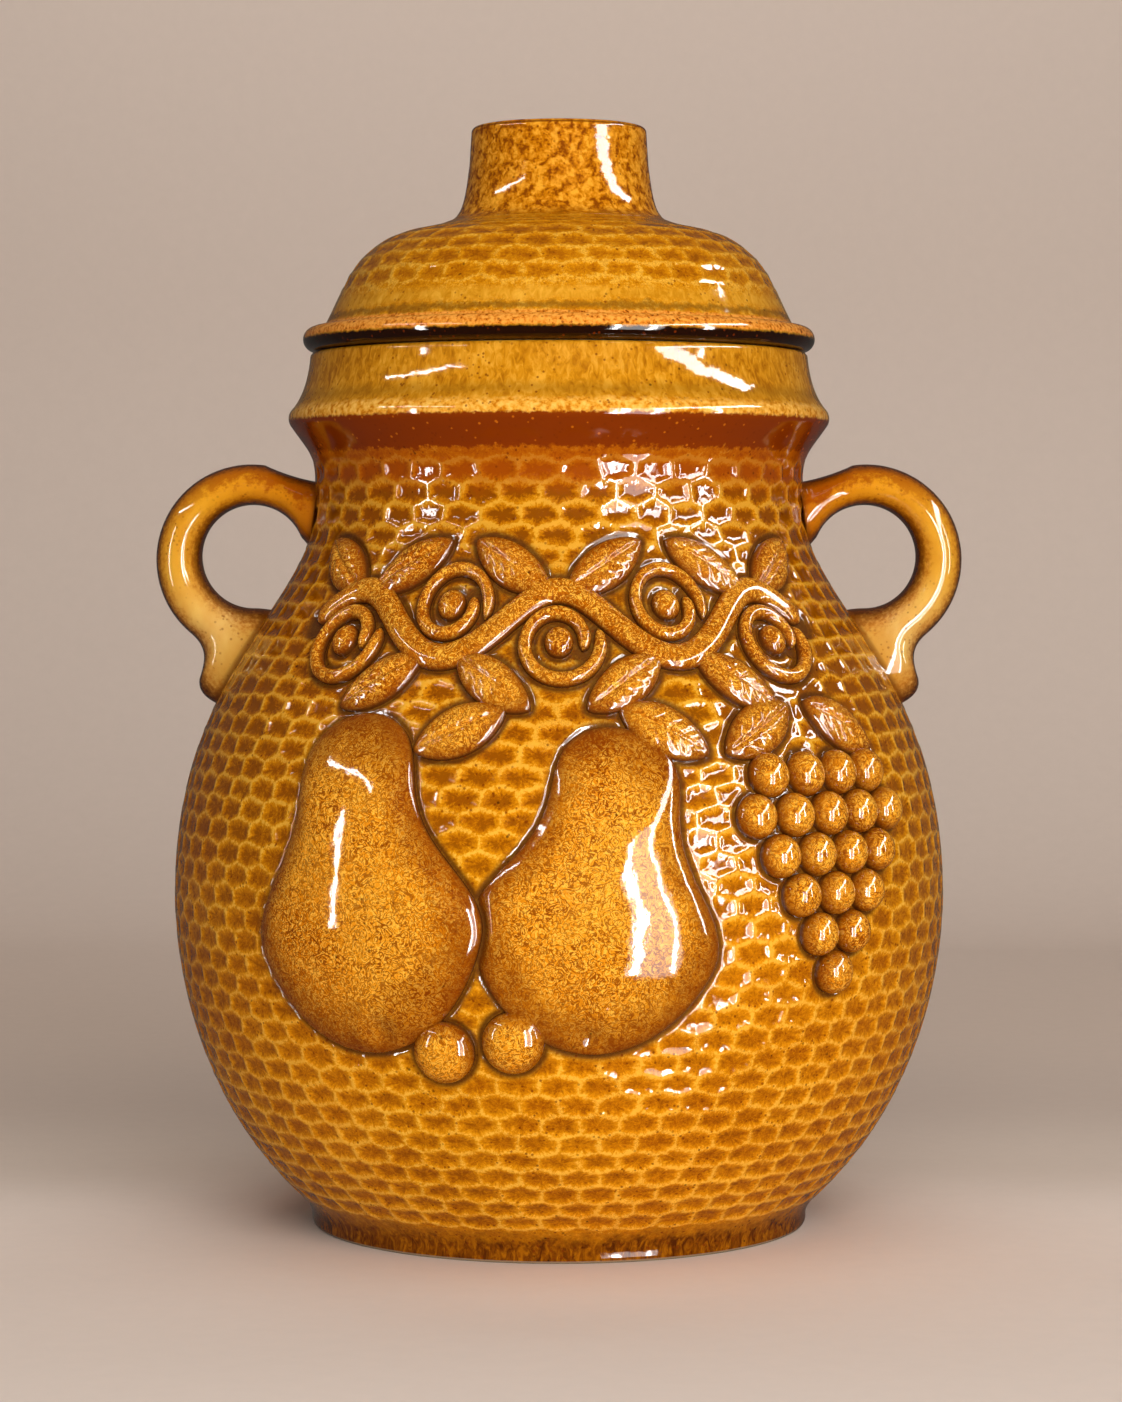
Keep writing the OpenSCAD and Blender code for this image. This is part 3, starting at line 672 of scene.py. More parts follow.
def strap_edges():
    """Outer and inner edge of a strap from the upper root to the tail, seen from the front."""
    top, low = NECK_TOP - 1.3, LOOP_Z + 2.4
    tail_z = LOOP_Z - TAIL_DROP
    tail_end = tail_z - 7.6
    tail_in = LOOP_Z - LOOP_R - 0.5
    spot = STRAP_C + STRAP_R * np.array([math.cos(math.radians(50)), -math.sin(math.radians(50))])
    slip = np.array([math.cos(math.radians(40)), math.sin(math.radians(40))])
    top_c = STRAP_C + STRAP_R * np.array([math.cos(math.radians(98)), math.sin(math.radians(98))])
    wr = lambda z: float(wall_r(z))
    outer = joined(
        bend((wr(top) - ROOT, top), (wr(top) + 6.7, top + 1.2), top_c, 16),
        arc(STRAP_C, STRAP_R, 97, -49, 60),
        bezier(spot, spot - 7 * slip, (wr(tail_z) + TAIL_OUT - 1.7, tail_z + 5.3),
               (wr(tail_z) + TAIL_OUT, tail_z), 18),
        bezier((wr(tail_z) + TAIL_OUT, tail_z), (wr(tail_z) + TAIL_OUT + 0.4, tail_z - 3.4),
               (wr(tail_end) + 3.0, tail_end + 2.0), (wr(tail_end) - ROOT, tail_end), 12))
    inner = joined(
        [(wr(low) - ROOT, low)], arc((LOOP_X, LOOP_Z), LOOP_R, 158, 100, 15),
        arc((LOOP_X, LOOP_Z), LOOP_R, 99, -49, 60), arc((LOOP_X, LOOP_Z), LOOP_R, -50, -90, 18),
        bezier((LOOP_X, LOOP_Z - LOOP_R), (wr(tail_in) + 2.0, LOOP_Z - LOOP_R),
               (wr(tail_in) + 0.8, tail_in), (wr(tail_in) - ROOT, tail_in), 12)[1:])
    n = 130
    return even(outer, n), even(inner, n)


def even(points, n):
    length = np.r_[0, np.cumsum(np.linalg.norm(np.diff(points, axis=0), axis=1))]
    at = np.linspace(0, length[-1], n)
    return np.stack([np.interp(at, length, points[:, k]) for k in (0, 1)], 1)


def handle(side):
    outer, inner = strap_edges()
    n, sides = len(outer), 44
    i = np.arange(n) / (n - 1)
    upper = smoothstep(-i, -0.16, 0.0)
    lower = smoothstep(i, 0.72, 1.0)
    w = STRAP_W / 2 * (1 + 0.2 * upper + 0.15 * lower)
    t = 2 * np.pi * np.arange(sides) / sides
    c, d = (outer + inner) / 2, (outer - inner) / 2
    x = c[:, :1] + d[:, :1] * np.cos(t)
    z = c[:, 1:] + d[:, 1:] * np.cos(t)
    y = w[:, None] * np.sin(t)
    points = np.stack([side * x, y, z], -1)
    flat = points.reshape(-1, 3)
    cap_a = [[0, j, j + 1] for j in range(1, sides - 1)]
    cap_b = [[(n - 1) * sides, (n - 1) * sides + j + 1, (n - 1) * sides + j] for j in range(1, sides - 1)]
    flip = side < 0
    tris = np.array(cap_a + cap_b)
    if flip:
        tris = tris[:, ::-1]
    edge = (0.5 + 0.5 * np.cos(t))[None] * np.ones((n, 1))
    # A mask near the wall for the join's pooled glaze and painted shade
    off_wall = np.hypot(x, y) - wall_r(z)
    seam_glaze_and_shade = 1 - smoothstep(off_wall, 0.3, 2.0)
    name = "left_loop" if side < 0 else "right_loop"
    obj = make_mesh(name, flat, grid_quads(n, sides, flip=not flip), tris,
                    {"edge": edge, "along": i[:, None] * np.ones((1, sides)), "seam_glaze_and_shade": seam_glaze_and_shade})
    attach(obj, "jar")
    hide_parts("left_handle" if side < 0 else "right_handle")
    return obj


# Lid
def lid_dome():
    rise = KNOB_Z - DOME_Z
    dome = joined(
        bezier((DOME_R, DOME_Z), (DOME_R - 4.3, DOME_Z + 0.285 * rise),
               (DOME_R - 5.6, DOME_Z + 0.47 * rise), (DOME_R - 10.6, DOME_Z + 0.64 * rise), 60),
        bezier((DOME_R - 10.6, DOME_Z + 0.64 * rise), (DOME_R - 19.8, DOME_Z + 0.955 * rise),
               (KNOB_FOOT_R + 9, KNOB_Z - 3.6), (KNOB_FOOT_R, KNOB_Z), 60))
    inner = bezier((RING_IN, SEAT_Z + 5), (RING_IN - 0.5, DOME_Z + 0.36 * rise),
                   (KNOB_FOOT_R + 16, KNOB_Z - LID_WALL - 2.2), (KNOB_BORE_R + 3, KNOB_Z - LID_WALL), 30)
    bead_c = (BEAD_R - BEAD_T / 2, SEAT_Z + BEAD_T / 2)
    top = joined(bend((DOME_R + 2.2, BEAD_TOP - 0.4), (DOME_R + 0.6, BEAD_TOP + 0.2),
                      (DOME_R, DOME_Z), 6), dome)
    top = resampled(top, FINE_STEP)
    bead = arc(bead_c, BEAD_T / 2, -90, 80, 24)
    line = joined([(RING_IN, SEAT_Z), (RING_IN + 6, SEAT_Z)], bead, top,
                  [(KNOB_BORE_R, KNOB_Z), (KNOB_BORE_R, KNOB_Z - LID_WALL)], inner[::-1],
                  [(RING_IN, SEAT_Z)])
    angles = np.arange(0, 2 * np.pi, 0.7 / DOME_R)
    az = np.where(angles > np.pi, angles - 2 * np.pi, angles)
    rows = len(line) - 1
    first = 2 + len(bead)
    z = line[:rows, 1]
    zone = np.zeros(rows, bool)
    zone[first:first + len(top) - 1] = z[first:first + len(top) - 1] > DOME_Z + 6.2
    s = np.zeros(rows)
    s[zone] = np.arange(zone.sum()) * FINE_STEP
    grid_az, grid_s = np.meshgrid(az, s[zone])
    grid_r = np.meshgrid(az, line[:rows][zone, 0])[1]
    cell, place = cell_field(grid_az, grid_s, grid_r, DIMPLE_ROW, DIMPLE_W, 2.0, 5, 0.16)
    ends = smoothstep(grid_s, 0, 3.0) * (1 - smoothstep(grid_s, s.max() - 6, s.max() - 1.0))
    lift = np.zeros((rows, len(az)))
    lift[zone] = -DIMPLE_DEPTH * hollow(cell) * ends
    layer = np.full(lift.shape, 0.7)
    layer[zone] = cell * ends + 0.7 * (1 - ends)
    place_layer = np.zeros(lift.shape + (3,))
    place_layer[zone] = place
    obj = lathe("lid_dome", line, angles, lift, {"cell": layer, "cell_place": place_layer})
    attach(obj, "lid")
    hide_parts("lid_shell")
    return obj


def lid_knob():
    top = KNOB_Z + KNOB_H
    line = joined(
        [(KNOB_BORE_R, KNOB_Z), (KNOB_FOOT_R - 0.5, KNOB_Z)],
        bezier((KNOB_FOOT_R, KNOB_Z), (KNOB_R + 2.6, KNOB_Z + 1.3),
               (KNOB_R + 1.9, KNOB_Z + 0.25 * KNOB_H), (KNOB_R + 0.6, KNOB_Z + 0.6 * KNOB_H), 30),
        arc((KNOB_R - KNOB_ROUND, top - KNOB_ROUND), KNOB_ROUND, 0, 90, 8),
        arc((KNOB_R - KNOB_ROUND - 1.5, top - KNOB_ROUND / 2), KNOB_ROUND / 2, 90, 150, 4),
        bend((KNOB_R - 5, top - KNOB_DISH * 0.7), (KNOB_R - 7, top - KNOB_DISH), (KNOB_R - 11, top - KNOB_DISH), 5),
        [(0.0, top - KNOB_DISH)])
    under = joined([(KNOB_BORE_R, KNOB_Z)],
                   bend((KNOB_BORE_R, top - KNOB_DISH - KNOB_TOP_T - 3),
                        (KNOB_BORE_R, top - KNOB_DISH - KNOB_TOP_T),
                        (KNOB_BORE_R - 3, top - KNOB_DISH - KNOB_TOP_T), 5),
                   [(0.0, top - KNOB_DISH - KNOB_TOP_T)])
    line = joined(under[::-1], line[1:])
    angles = np.arange(0, 2 * np.pi, 2 * np.pi / 240)
    obj = lathe("lid_knob_turned", line, angles)
    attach(obj, "lid")
    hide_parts("lid_knob")
    return obj


# Materials
def rgb(r, g, b):
    """Linear colour from 8-bit display values."""
    def channel(v):
        v /= 255
        return v / 12.92 if v <= 0.04045 else ((v + 0.055) / 1.055) ** 2.4
    return channel(r), channel(g), channel(b), 1.0


class Graph:
    """Short names for building a node tree."""

    def __init__(self, name):
        self.material = bpy.data.materials.new(name)
        self.material.use_nodes = True
        self.tree = self.material.node_tree
        self.shader = self.tree.nodes["Principled BSDF"]
        self.place = self.node("ShaderNodeTexCoord").outputs["Object"]

    def node(self, kind, **values):
        n = self.tree.nodes.new(kind)
        for key, value in values.items():
            setattr(n, key, value)
        return n

    def link(self, a, b):
        self.tree.links.new(a, b)

    def feed(self, socket, value):
        if isinstance(value, bpy.types.NodeSocket):
            self.link(value, socket)
        else:
            socket.default_value = value

    def noise(self, scale, detail=3.0, rough=0.55, distortion=0.0, vector=None, stretch=None):
        n = self.node("ShaderNodeTexNoise")
        vector = vector or self.place
        if stretch:
            m = self.node("ShaderNodeMapping")
            m.inputs["Scale"].default_value = stretch
            self.link(vector, m.inputs["Vector"])
            vector = m.outputs["Vector"]
        self.link(vector, n.inputs["Vector"])
        n.inputs["Scale"].default_value = scale
        n.inputs["Detail"].default_value = detail
        n.inputs["Roughness"].default_value = rough
        n.inputs["Distortion"].default_value = distortion
        return n.outputs["Fac"]

    def specks(self, scale, size, soft):
        """1 in small round specks, one in each cell of the texture, and 0 between them."""
        v = self.node("ShaderNodeTexVoronoi")
        self.link(self.place, v.inputs["Vector"])
        v.inputs["Scale"].default_value = scale
        return self.ramp(v.outputs["Distance"], [(size, 1.0), (size + soft, 0.0)])

    def layer(self, name):
        return self.node("ShaderNodeAttribute", attribute_name=name).outputs["Fac"]

    def math(self, op, a, b=0.0, c=None, clamp=False):
        n = self.node("ShaderNodeMath", operation=op, use_clamp=clamp)
        self.feed(n.inputs[0], a)
        self.feed(n.inputs[1], b)
        if c is not None:
            self.feed(n.inputs[2], c)
        return n.outputs[0]

    def ramp(self, fac, stops, smooth=False):
        """stops hold either grey values or colours."""
        n = self.node("ShaderNodeValToRGB")
        if smooth:
            n.color_ramp.interpolation = "EASE"
        elements = n.color_ramp.elements
        while len(elements) < len(stops):
            elements.new(0.5)
        for e, (at, colour) in zip(elements, stops):
            e.position = at
            e.color = colour if isinstance(colour, tuple) else (colour, colour, colour, 1)
        self.feed(n.inputs["Fac"], fac)
        return n.outputs["Color"]

    def mix(self, fac, a, b, blend="MIX"):
        n = self.node("ShaderNodeMix", data_type="RGBA", blend_type=blend)
        self.feed(n.inputs["Factor"], fac)
        self.feed(n.inputs[6], a)
        self.feed(n.inputs[7], b)
        return n.outputs[2]

    def height(self):
        """The place's height in millimetres."""
        s = self.node("ShaderNodeSeparateXYZ")
        self.link(self.place, s.inputs[0])
        return self.math("MULTIPLY", s.outputs["Z"], 1000.0)

    def band(self, z, low, high, soft):
        up = self.math("SMOOTH_MIN", 1.0, self.math("DIVIDE", self.math("SUBTRACT", z, low), soft), 0.2)
        down = self.math("SMOOTH_MIN", 1.0, self.math("DIVIDE", self.math("SUBTRACT", high, z), soft), 0.2)
        return self.math("MAXIMUM", self.math("MINIMUM", up, down), 0.0)

    def layer_vector(self, name):
        return self.node("ShaderNodeAttribute", attribute_name=name).outputs["Vector"]

    def parts(self, vector):
        n = self.node("ShaderNodeSeparateXYZ")
        self.link(vector, n.inputs[0])
        return n.outputs

    def combined(self, x, y, z):
        n = self.node("ShaderNodeCombineXYZ")
        for socket, value in zip(n.inputs, (x, y, z)):
            self.feed(socket, value)
        return n.outputs[0]

    def centred(self, fac, gain):
        """gain times the part of a texture's value that lies above its middle."""
        return self.math("MULTIPLY", self.math("SUBTRACT", fac, 0.5), gain)

    def total(self, *values):
        out = values[0]
        for value in values[1:]:
            out = self.math("ADD", out, value)
        return out

    def radial_noise(self, x, y, number, turns):
        """Noise that changes round a cell's middle and stays the same along its radii."""
        n = self.node("ShaderNodeVectorMath", operation="NORMALIZE")
        self.link(self.combined(x, y, 0.0), n.inputs[0])
        far = self.node("ShaderNodeVectorMath", operation="SCALE")
        self.link(n.outputs[0], far.inputs[0])
        far.inputs["Scale"].default_value = turns
        moved = self.node("ShaderNodeVectorMath", operation="ADD")
        self.link(far.outputs[0], moved.inputs[0])
        self.link(self.combined(0.0, 0.0, self.math("MULTIPLY", number, 5.3)), moved.inputs[1])
        return self.noise(1.0, 2, 0.6, vector=moved.outputs[0])

    def threads(self, scale, distortion, low, high, stretch=None):
        """1 along short winding threads and 0 between them."""
        n = self.noise(scale, 1, 0.5, distortion, stretch=stretch)
        away = self.math("ABSOLUTE", self.math("SUBTRACT", n, 0.5))
        return self.ramp(away, [(low, 1.0), (high, 0.0)])

    def freckles(self, colour, amount=1.0):
        """Small red-brown specks, and fewer dark ones."""
        near = self.ramp(self.noise(90, 2, 0.5), [(0.40, 0.0), (0.56, 1.0)])
        wide = self.ramp(self.noise(45, 2, 0.5), [(0.46, 0.0), (0.62, 1.0)])
        small = self.math("MULTIPLY", self.specks(520, 0.14, 0.10), near)
        dark = self.math("MULTIPLY", self.specks(250, 0.07, 0.05), wide)
        colour = self.mix(self.math("MULTIPLY", small, 0.75 * amount), colour, rgb(112, 42, 2))
        return self.mix(self.math("MULTIPLY", dark, 0.75 * amount), colour, SPECK)

    def finish_glaze(self, colour, bump, roughness=0.06, bump_height=0.00010):
        """A glossy glaze whose surface waves a little, as glaze does when it runs and pools."""
        self.feed(self.shader.inputs["Base Color"], colour)
        self.shader.inputs["Roughness"].default_value = roughness
        self.shader.inputs["IOR"].default_value = 1.5
        self.shader.inputs["Specular IOR Level"].default_value = 0.32
        height = self.total(self.math("MULTIPLY", self.noise(110, 1, 0.5), 2.4),
                            self.math("MULTIPLY", bump, 0.4))
        b = self.node("ShaderNodeBump")
        b.inputs["Strength"].default_value = 0.8
        b.inputs["Distance"].default_value = bump_height
        self.feed(b.inputs["Height"], height)
        self.link(b.outputs["Normal"], self.shader.inputs["Normal"])
        return self.material


RED_BROWN = rgb(127, 49, 2)
DARK = rgb(34, 11, 2)
SPECK = rgb(50, 18, 2)
GROOVE_SHADE = rgb(84, 46, 16)
CELL_STOPS = [(0.02, rgb(148, 82, 1)), (0.30, rgb(182, 108, 3)), (0.56, rgb(206, 131, 6)),
              (0.78, rgb(224, 150, 17)), (1.0, rgb(243, 182, 60))]


def jar_material():
    g = Graph("jar_glaze_honeycomb")
    z = g.height()
    share = g.math("DIVIDE", z, 220.0)
    x, y, number = g.parts(g.layer_vector("cell_place"))
    # The shoulder's cells are darker low in each cell, and those near the foot are darker high
    lean = g.math("MULTIPLY", g.ramp(share, [(0.15, 0.0), (0.55, 1.0)]), 0.125)
    lean = g.math("MULTIPLY", g.math("SUBTRACT", lean, 0.05), y)
    own = g.noise(0.9, 1, 0.5, vector=g.combined(number, g.math("MULTIPLY", number, 0.37), 0.0))
    # The belly's cells have a narrow pale border, and the shoulder's a wider one
    upper = g.ramp(share, [(0.45, 0.0), (0.80, 1.0)])
    # Towards the jar's sides, as the front view sees them, the pale borders narrow and the cells darken: painted
    # shade
    aside_shade = g.ramp(g.math("MULTIPLY", g.math("ABSOLUTE", g.parts(g.place)[0]), 10.0), [(0.50, 0.0), (0.85, 1.0)])
    sharp = g.math("SUBTRACT", g.math("ADD", 1.75, g.math("MULTIPLY", aside_shade, 0.45)),
                   g.math("MULTIPLY", upper, g.math("SUBTRACT", 0.75, g.math("MULTIPLY", aside_shade, 0.75))))
    edge = g.math("POWER", g.layer("cell"), sharp)
    flat = g.math("MULTIPLY", g.math("SUBTRACT", 1.0, upper), 0.24)
    edge = g.math("ADD", g.math("MULTIPLY", edge, g.math("SUBTRACT", 1.0, flat)), flat)
    shade = g.total(edge, g.centred(g.radial_noise(x, y, number, 4.5), 0.9),
                    g.centred(g.noise(1500, 2, 0.7), 1.0), g.centred(g.noise(520, 2, 0.6), 0.95),
                    g.centred(g.noise(24, 2, 0.5), 0.45), g.centred(own, 0.4), lean)
    more = g.math("MULTIPLY", g.math("SUBTRACT", shade, 0.66), g.math("MULTIPLY", upper, 0.35))
    colour = g.ramp(g.math("ADD", shade, more), CELL_STOPS)
    colour = g.mix(g.math("MULTIPLY", upper, 0.85), colour, rgb(224, 216, 190), "MULTIPLY")
    rust = g.ramp(g.noise(11, 2, 0.5), [(0.40, 0.0), (0.70, 0.35)])
    colour = g.mix(rust, colour, rgb(255, 222, 160), "MULTIPLY")
    worms = g.math("MULTIPLY", g.threads(900, 2.0, 0.015, 0.07),
                   g.ramp(g.noise(70, 2, 0.5), [(0.42, 0.0), (0.62, 0.45)]))
    colour = g.mix(worms, colour, rgb(150, 66, 2))
    wander = g.centred(g.noise(150, 4, 0.7), 9.0)
    z2 = g.math("ADD", z, wander)
    colour = g.mix(g.math("MULTIPLY", g.band(z2, 213, 235, 6.0), 0.62), colour, rgb(160, 66, 3))
    z3 = g.math("ADD", z, g.centred(g.noise(420, 3, 0.7), 5.5))
    dots = g.math("MULTIPLY", g.specks(330, 0.10, 0.06), 0.7)
    colour = g.mix(g.band(z3, 226.2, 237.5, 0.9), colour, g.mix(dots, RED_BROWN, rgb(206, 112, 14)))
    ridge = g.ramp(g.noise(620, 2, 0.6), [(0.34, rgb(190, 108, 10)), (0.46, rgb(224, 154, 44)),
                                          (0.64, rgb(242, 184, 84))])
    z5 = g.math("ADD", z, g.centred(g.noise(700, 3, 0.7), 2.6))
    colour = g.mix(g.band(z5, 235.8, 280, 0.7), colour, ridge)
    strokes = g.total(g.noise(560, 3, 0.6, 0.8, stretch=(1.0, 1.0, 0.42)), g.centred(g.noise(90, 2, 0.5), 0.5))
    collar = g.ramp(strokes, [(0.30, rgb(158, 94, 5)), (0.50, rgb(198, 130, 18)), (0.70, rgb(220, 156, 44))])
    z4 = g.math("ADD", z, g.centred(g.noise(240, 3, 0.6), 2.4))
    collar = g.mix(g.math("MULTIPLY", g.band(z4, 240.0, 245.5, 2.5), 0.55), collar, rgb(146, 96, 14))
    colour = g.mix(g.band(z4, 239.2, 280, 1.4), colour, collar)
    foot = g.ramp(g.noise(520, 3, 0.65, 1.0, stretch=(1.0, 1.0, 0.40)),
                  [(0.34, rgb(80, 34, 1)), (0.50, rgb(120, 62, 2)), (0.66, rgb(160, 94, 5))])
    colour = g.mix(g.band(z2, -14, 10.6, 5.0), colour, foot)
    # Grey-brown painted shade and reflection in the grooves round the ornaments
    colour = g.mix(g.math("MULTIPLY", g.layer("groove"), 0.9), colour, GROOVE_SHADE)
    colour = g.freckles(colour)
    colour = g.mix(g.band(z, -5, 0.9, 0.3), colour, rgb(150, 128, 100))
    return g.finish_glaze(colour, g.noise(500, 2, 0.5))


def relief_material():
    g = Graph("relief_glaze_speckled")
    rim = g.layer("rim")
    share = g.math("DIVIDE", g.height(), 200.0)
    edge = g.ramp(g.total(rim, g.centred(g.noise(160, 3, 0.6), 0.4)), [(0.60, 0.0), (0.98, 1.0)])
    colour = g.ramp(g.noise(26, 2, 0.5), [(0.34, rgb(212, 122, 7)), (0.64, rgb(234, 154, 30))])
    colour = g.mix(g.ramp(share, [(0.62, 0.0), (0.84, 0.65)]), colour, rgb(166, 82, 4))
    light = g.math("MULTIPLY", g.threads(330, 2.8, 0.03, 0.075, (1.03, 0.96, 1.05)), 0.9)
    colour = g.mix(light, colour, rgb(248, 184, 62))
    thick = g.ramp(g.noise(60, 3, 0.6), [(0.35, 1.0), (0.65, 0.6)])
    colour = g.mix(g.math("MULTIPLY", g.threads(350, 2.6, 0.028, 0.08), thick), colour, rgb(134, 60, 1))
    grain = g.ramp(g.noise(900, 2, 0.6), [(0.34, 0.35), (0.44, 0.0)])
    colour = g.mix(grain, colour, rgb(150, 72, 2))
    colour = g.mix(g.math("MULTIPLY", edge, 0.85), colour, rgb(122, 52, 1))
    # Grey-brown painted shade and reflection in the ornaments' sunk edges and creases
    colour = g.mix(g.math("MULTIPLY", g.layer("groove"), 0.85), colour, GROOVE_SHADE)
    return g.finish_glaze(g.freckles(colour, 0.9), g.noise(420, 2, 0.5))


def handle_material():
    g = Graph("handle_glaze_amber")
    outer = g.layer("edge")
    inner = g.math("SUBTRACT", 1.0, outer)
    along = g.layer("along")
    fine = g.noise(760, 3, 0.65)
    base = g.ramp(along, [(0.0, rgb(176, 96, 6)), (0.14, rgb(206, 130, 14)), (0.36, rgb(218, 150, 30)),
                          (0.62, rgb(220, 162, 52)), (0.84, rgb(222, 180, 100)), (1.0, rgb(198, 146, 54))])
    cloud = g.ramp(g.noise(130, 3, 0.6, stretch=(1.0, 1.0, 0.6)), [(0.35, 0.4), (0.65, 0.0)])
    colour = g.mix(cloud, base, rgb(190, 112, 12))
    rusty_top = g.ramp(along, [(0.06, 1.0), (0.30, 0.75), (0.50, 0.0)])
    crown = g.ramp(g.total(outer, g.centred(g.noise(300, 4, 0.72), 1.5)), [(0.50, 0.0), (0.74, 0.9)])
    colour = g.mix(g.math("MULTIPLY", crown, rusty_top), colour, rgb(150, 66, 2))
    # Towards the strap's outer and inner edges, which the front view sees edge-on, the glaze turns rusty and then
    # dark brown; the brown is partly thick glaze and partly painted shade and reflection
    for side, wide, full in ((outer, 0.84, 0.97), (inner, 0.80, 0.96)):
        rust = g.ramp(g.total(side, g.centred(fine, 0.55)), [(wide - 0.12, 0.0), (wide + 0.08, 1.0)])
        colour = g.mix(g.math("MULTIPLY", rust, 0.7), colour, rgb(168, 88, 4))
        rim_glaze_and_shade = g.ramp(g.total(side, g.centred(fine, 0.16)), [(wide, 0.0), (full, 1.0)])
        colour = g.mix(g.math("MULTIPLY", rim_glaze_and_shade, 0.95), colour, rgb(74, 32, 5))
    # The join with the wall darkens: glaze pooled there, and painted shade
    colour = g.mix(g.math("MULTIPLY", g.layer("seam_glaze_and_shade"), 0.75), colour, rgb(104, 52, 6))
    return g.finish_glaze(g.freckles(colour, 0.7), g.noise(300, 2, 0.5))


def lid_material():
    g = Graph("lid_glaze_ochre")
    z = g.height()
    x, y, number = g.parts(g.layer_vector("cell_place"))
    rise = g.ramp(g.math("DIVIDE", g.math("SUBTRACT", z, 270.0), 30.0), [(0.2, 0.22), (0.7, 0.0)])
    soft = g.math("ADD", g.math("MULTIPLY", g.layer("cell"), 0.62), 0.12)
    shade = g.total(soft, g.centred(g.radial_noise(x, y, number, 4.0), 0.8),
                    g.centred(g.noise(1300, 2, 0.7), 0.9), g.centred(g.noise(430, 2, 0.6), 0.9),
                    g.centred(g.noise(60, 2, 0.5), 0.5), g.math("MULTIPLY", y, 0.07), rise)
    colour = g.ramp(shade, CELL_STOPS)
    worms = g.math("MULTIPLY", g.threads(800, 2.2, 0.02, 0.08), 0.5)
    colour = g.mix(worms, colour, rgb(158, 80, 4))
    z2 = g.math("ADD", z, g.centred(g.noise(180, 4, 0.65), 5.0))
    z3 = g.math("ADD", z, g.centred(g.noise(480, 3, 0.7), 1.8))
    strokes = g.total(g.noise(480, 3, 0.62, 0.8, stretch=(1.0, 1.0, 0.42)), g.centred(g.noise(80, 2, 0.5), 0.4))
    smooth = g.ramp(strokes, [(0.30, rgb(198, 130, 16)), (0.50, rgb(222, 156, 38)), (0.70, rgb(238, 176, 60))])
    colour = g.mix(g.band(z2, 266.8, 272.0, 2.0), colour, smooth)
    # Painted shade in the crease where the dome meets the bead
    colour = g.mix(g.math("MULTIPLY", g.band(z2, 264.6, 267.4, 1.0), 0.7), colour, rgb(128, 84, 20))
    speckled = g.ramp(g.noise(900, 2, 0.6), [(0.30, rgb(112, 46, 4)), (0.39, rgb(222, 126, 30)),
                                             (0.60, rgb(254, 174, 74))])
    colour = g.mix(g.band(z3, 259.9, 264.8, 0.6), colour, speckled)
    colour = g.mix(g.band(z3, 240, 260.3, 0.7), colour, DARK)
    # Painted reflection of the collar's orange on the underside of the bead
    colour = g.mix(g.math("MULTIPLY", g.band(z3, 240, 257.1, 0.6), 0.2), colour, rgb(150, 82, 10))
    flare = g.band(z2, 289.5, 295.0, 2.5)
    colour = g.mix(g.math("MULTIPLY", flare, 0.5), colour, rgb(160, 98, 14))
    knob = g.band(z2, 294, 340, 2.5)
    mottled = g.ramp(g.total(g.noise(430, 2, 0.5, 0.5), g.centred(g.noise(1300, 2, 0.6), 0.4)),
                     [(0.34, rgb(140, 70, 1)), (0.48, rgb(206, 125, 8)), (0.68, rgb(248, 174, 50))])
    colour = g.mix(knob, colour, mottled)
    colour = g.mix(1.0, colour, rgb(239, 236, 222), "MULTIPLY")
    colour = g.mix(g.band(z, 320.9, 321.9, 0.5), colour, rgb(104, 48, 3))
    return g.finish_glaze(g.freckles(colour), g.noise(380, 2, 0.5))


def clay_material():
    g = Graph("bare_stoneware_clay")
    colour = g.ramp(g.noise(160, 4, 0.6), [(0.35, rgb(186, 168, 142)), (0.65, rgb(212, 196, 170))])
    dots = g.specks(420, 0.12, 0.06)
    colour = g.mix(g.math("MULTIPLY", dots, 0.35), colour, rgb(120, 92, 64))
    g.feed(g.shader.inputs["Base Color"], colour)
    g.shader.inputs["Roughness"].default_value = 0.85
    b = g.node("ShaderNodeBump")
    b.inputs["Strength"].default_value = 0.5
    b.inputs["Distance"].default_value = 0.0002
    g.feed(b.inputs["Height"], g.noise(900, 3, 0.6))
    g.link(b.outputs["Normal"], g.shader.inputs["Normal"])
    return g.material


def dress(obj, material):
    obj.data.materials.clear()
    obj.data.materials.append(material)


# Camera, lights and stage
CAM_DISTANCE, CAM_HEIGHT, CAM_PITCH, CAM_LENS = 1093.0, 196.8, 2.26, 95.0
CAM_SIDE = 0.6


def camera():
    data = bpy.data.cameras.new("camera")
    data.lens = CAM_LENS
    data.sensor_width = 36
    data.clip_start = 0.05
    obj = bpy.data.objects.new("camera", data)
    bpy.context.collection.objects.link(obj)
    obj.location = (CAM_SIDE * MM, -CAM_DISTANCE * MM, CAM_HEIGHT * MM)
    obj.rotation_euler = (math.radians(90 - CAM_PITCH), 0, 0)
    bpy.context.scene.camera = obj


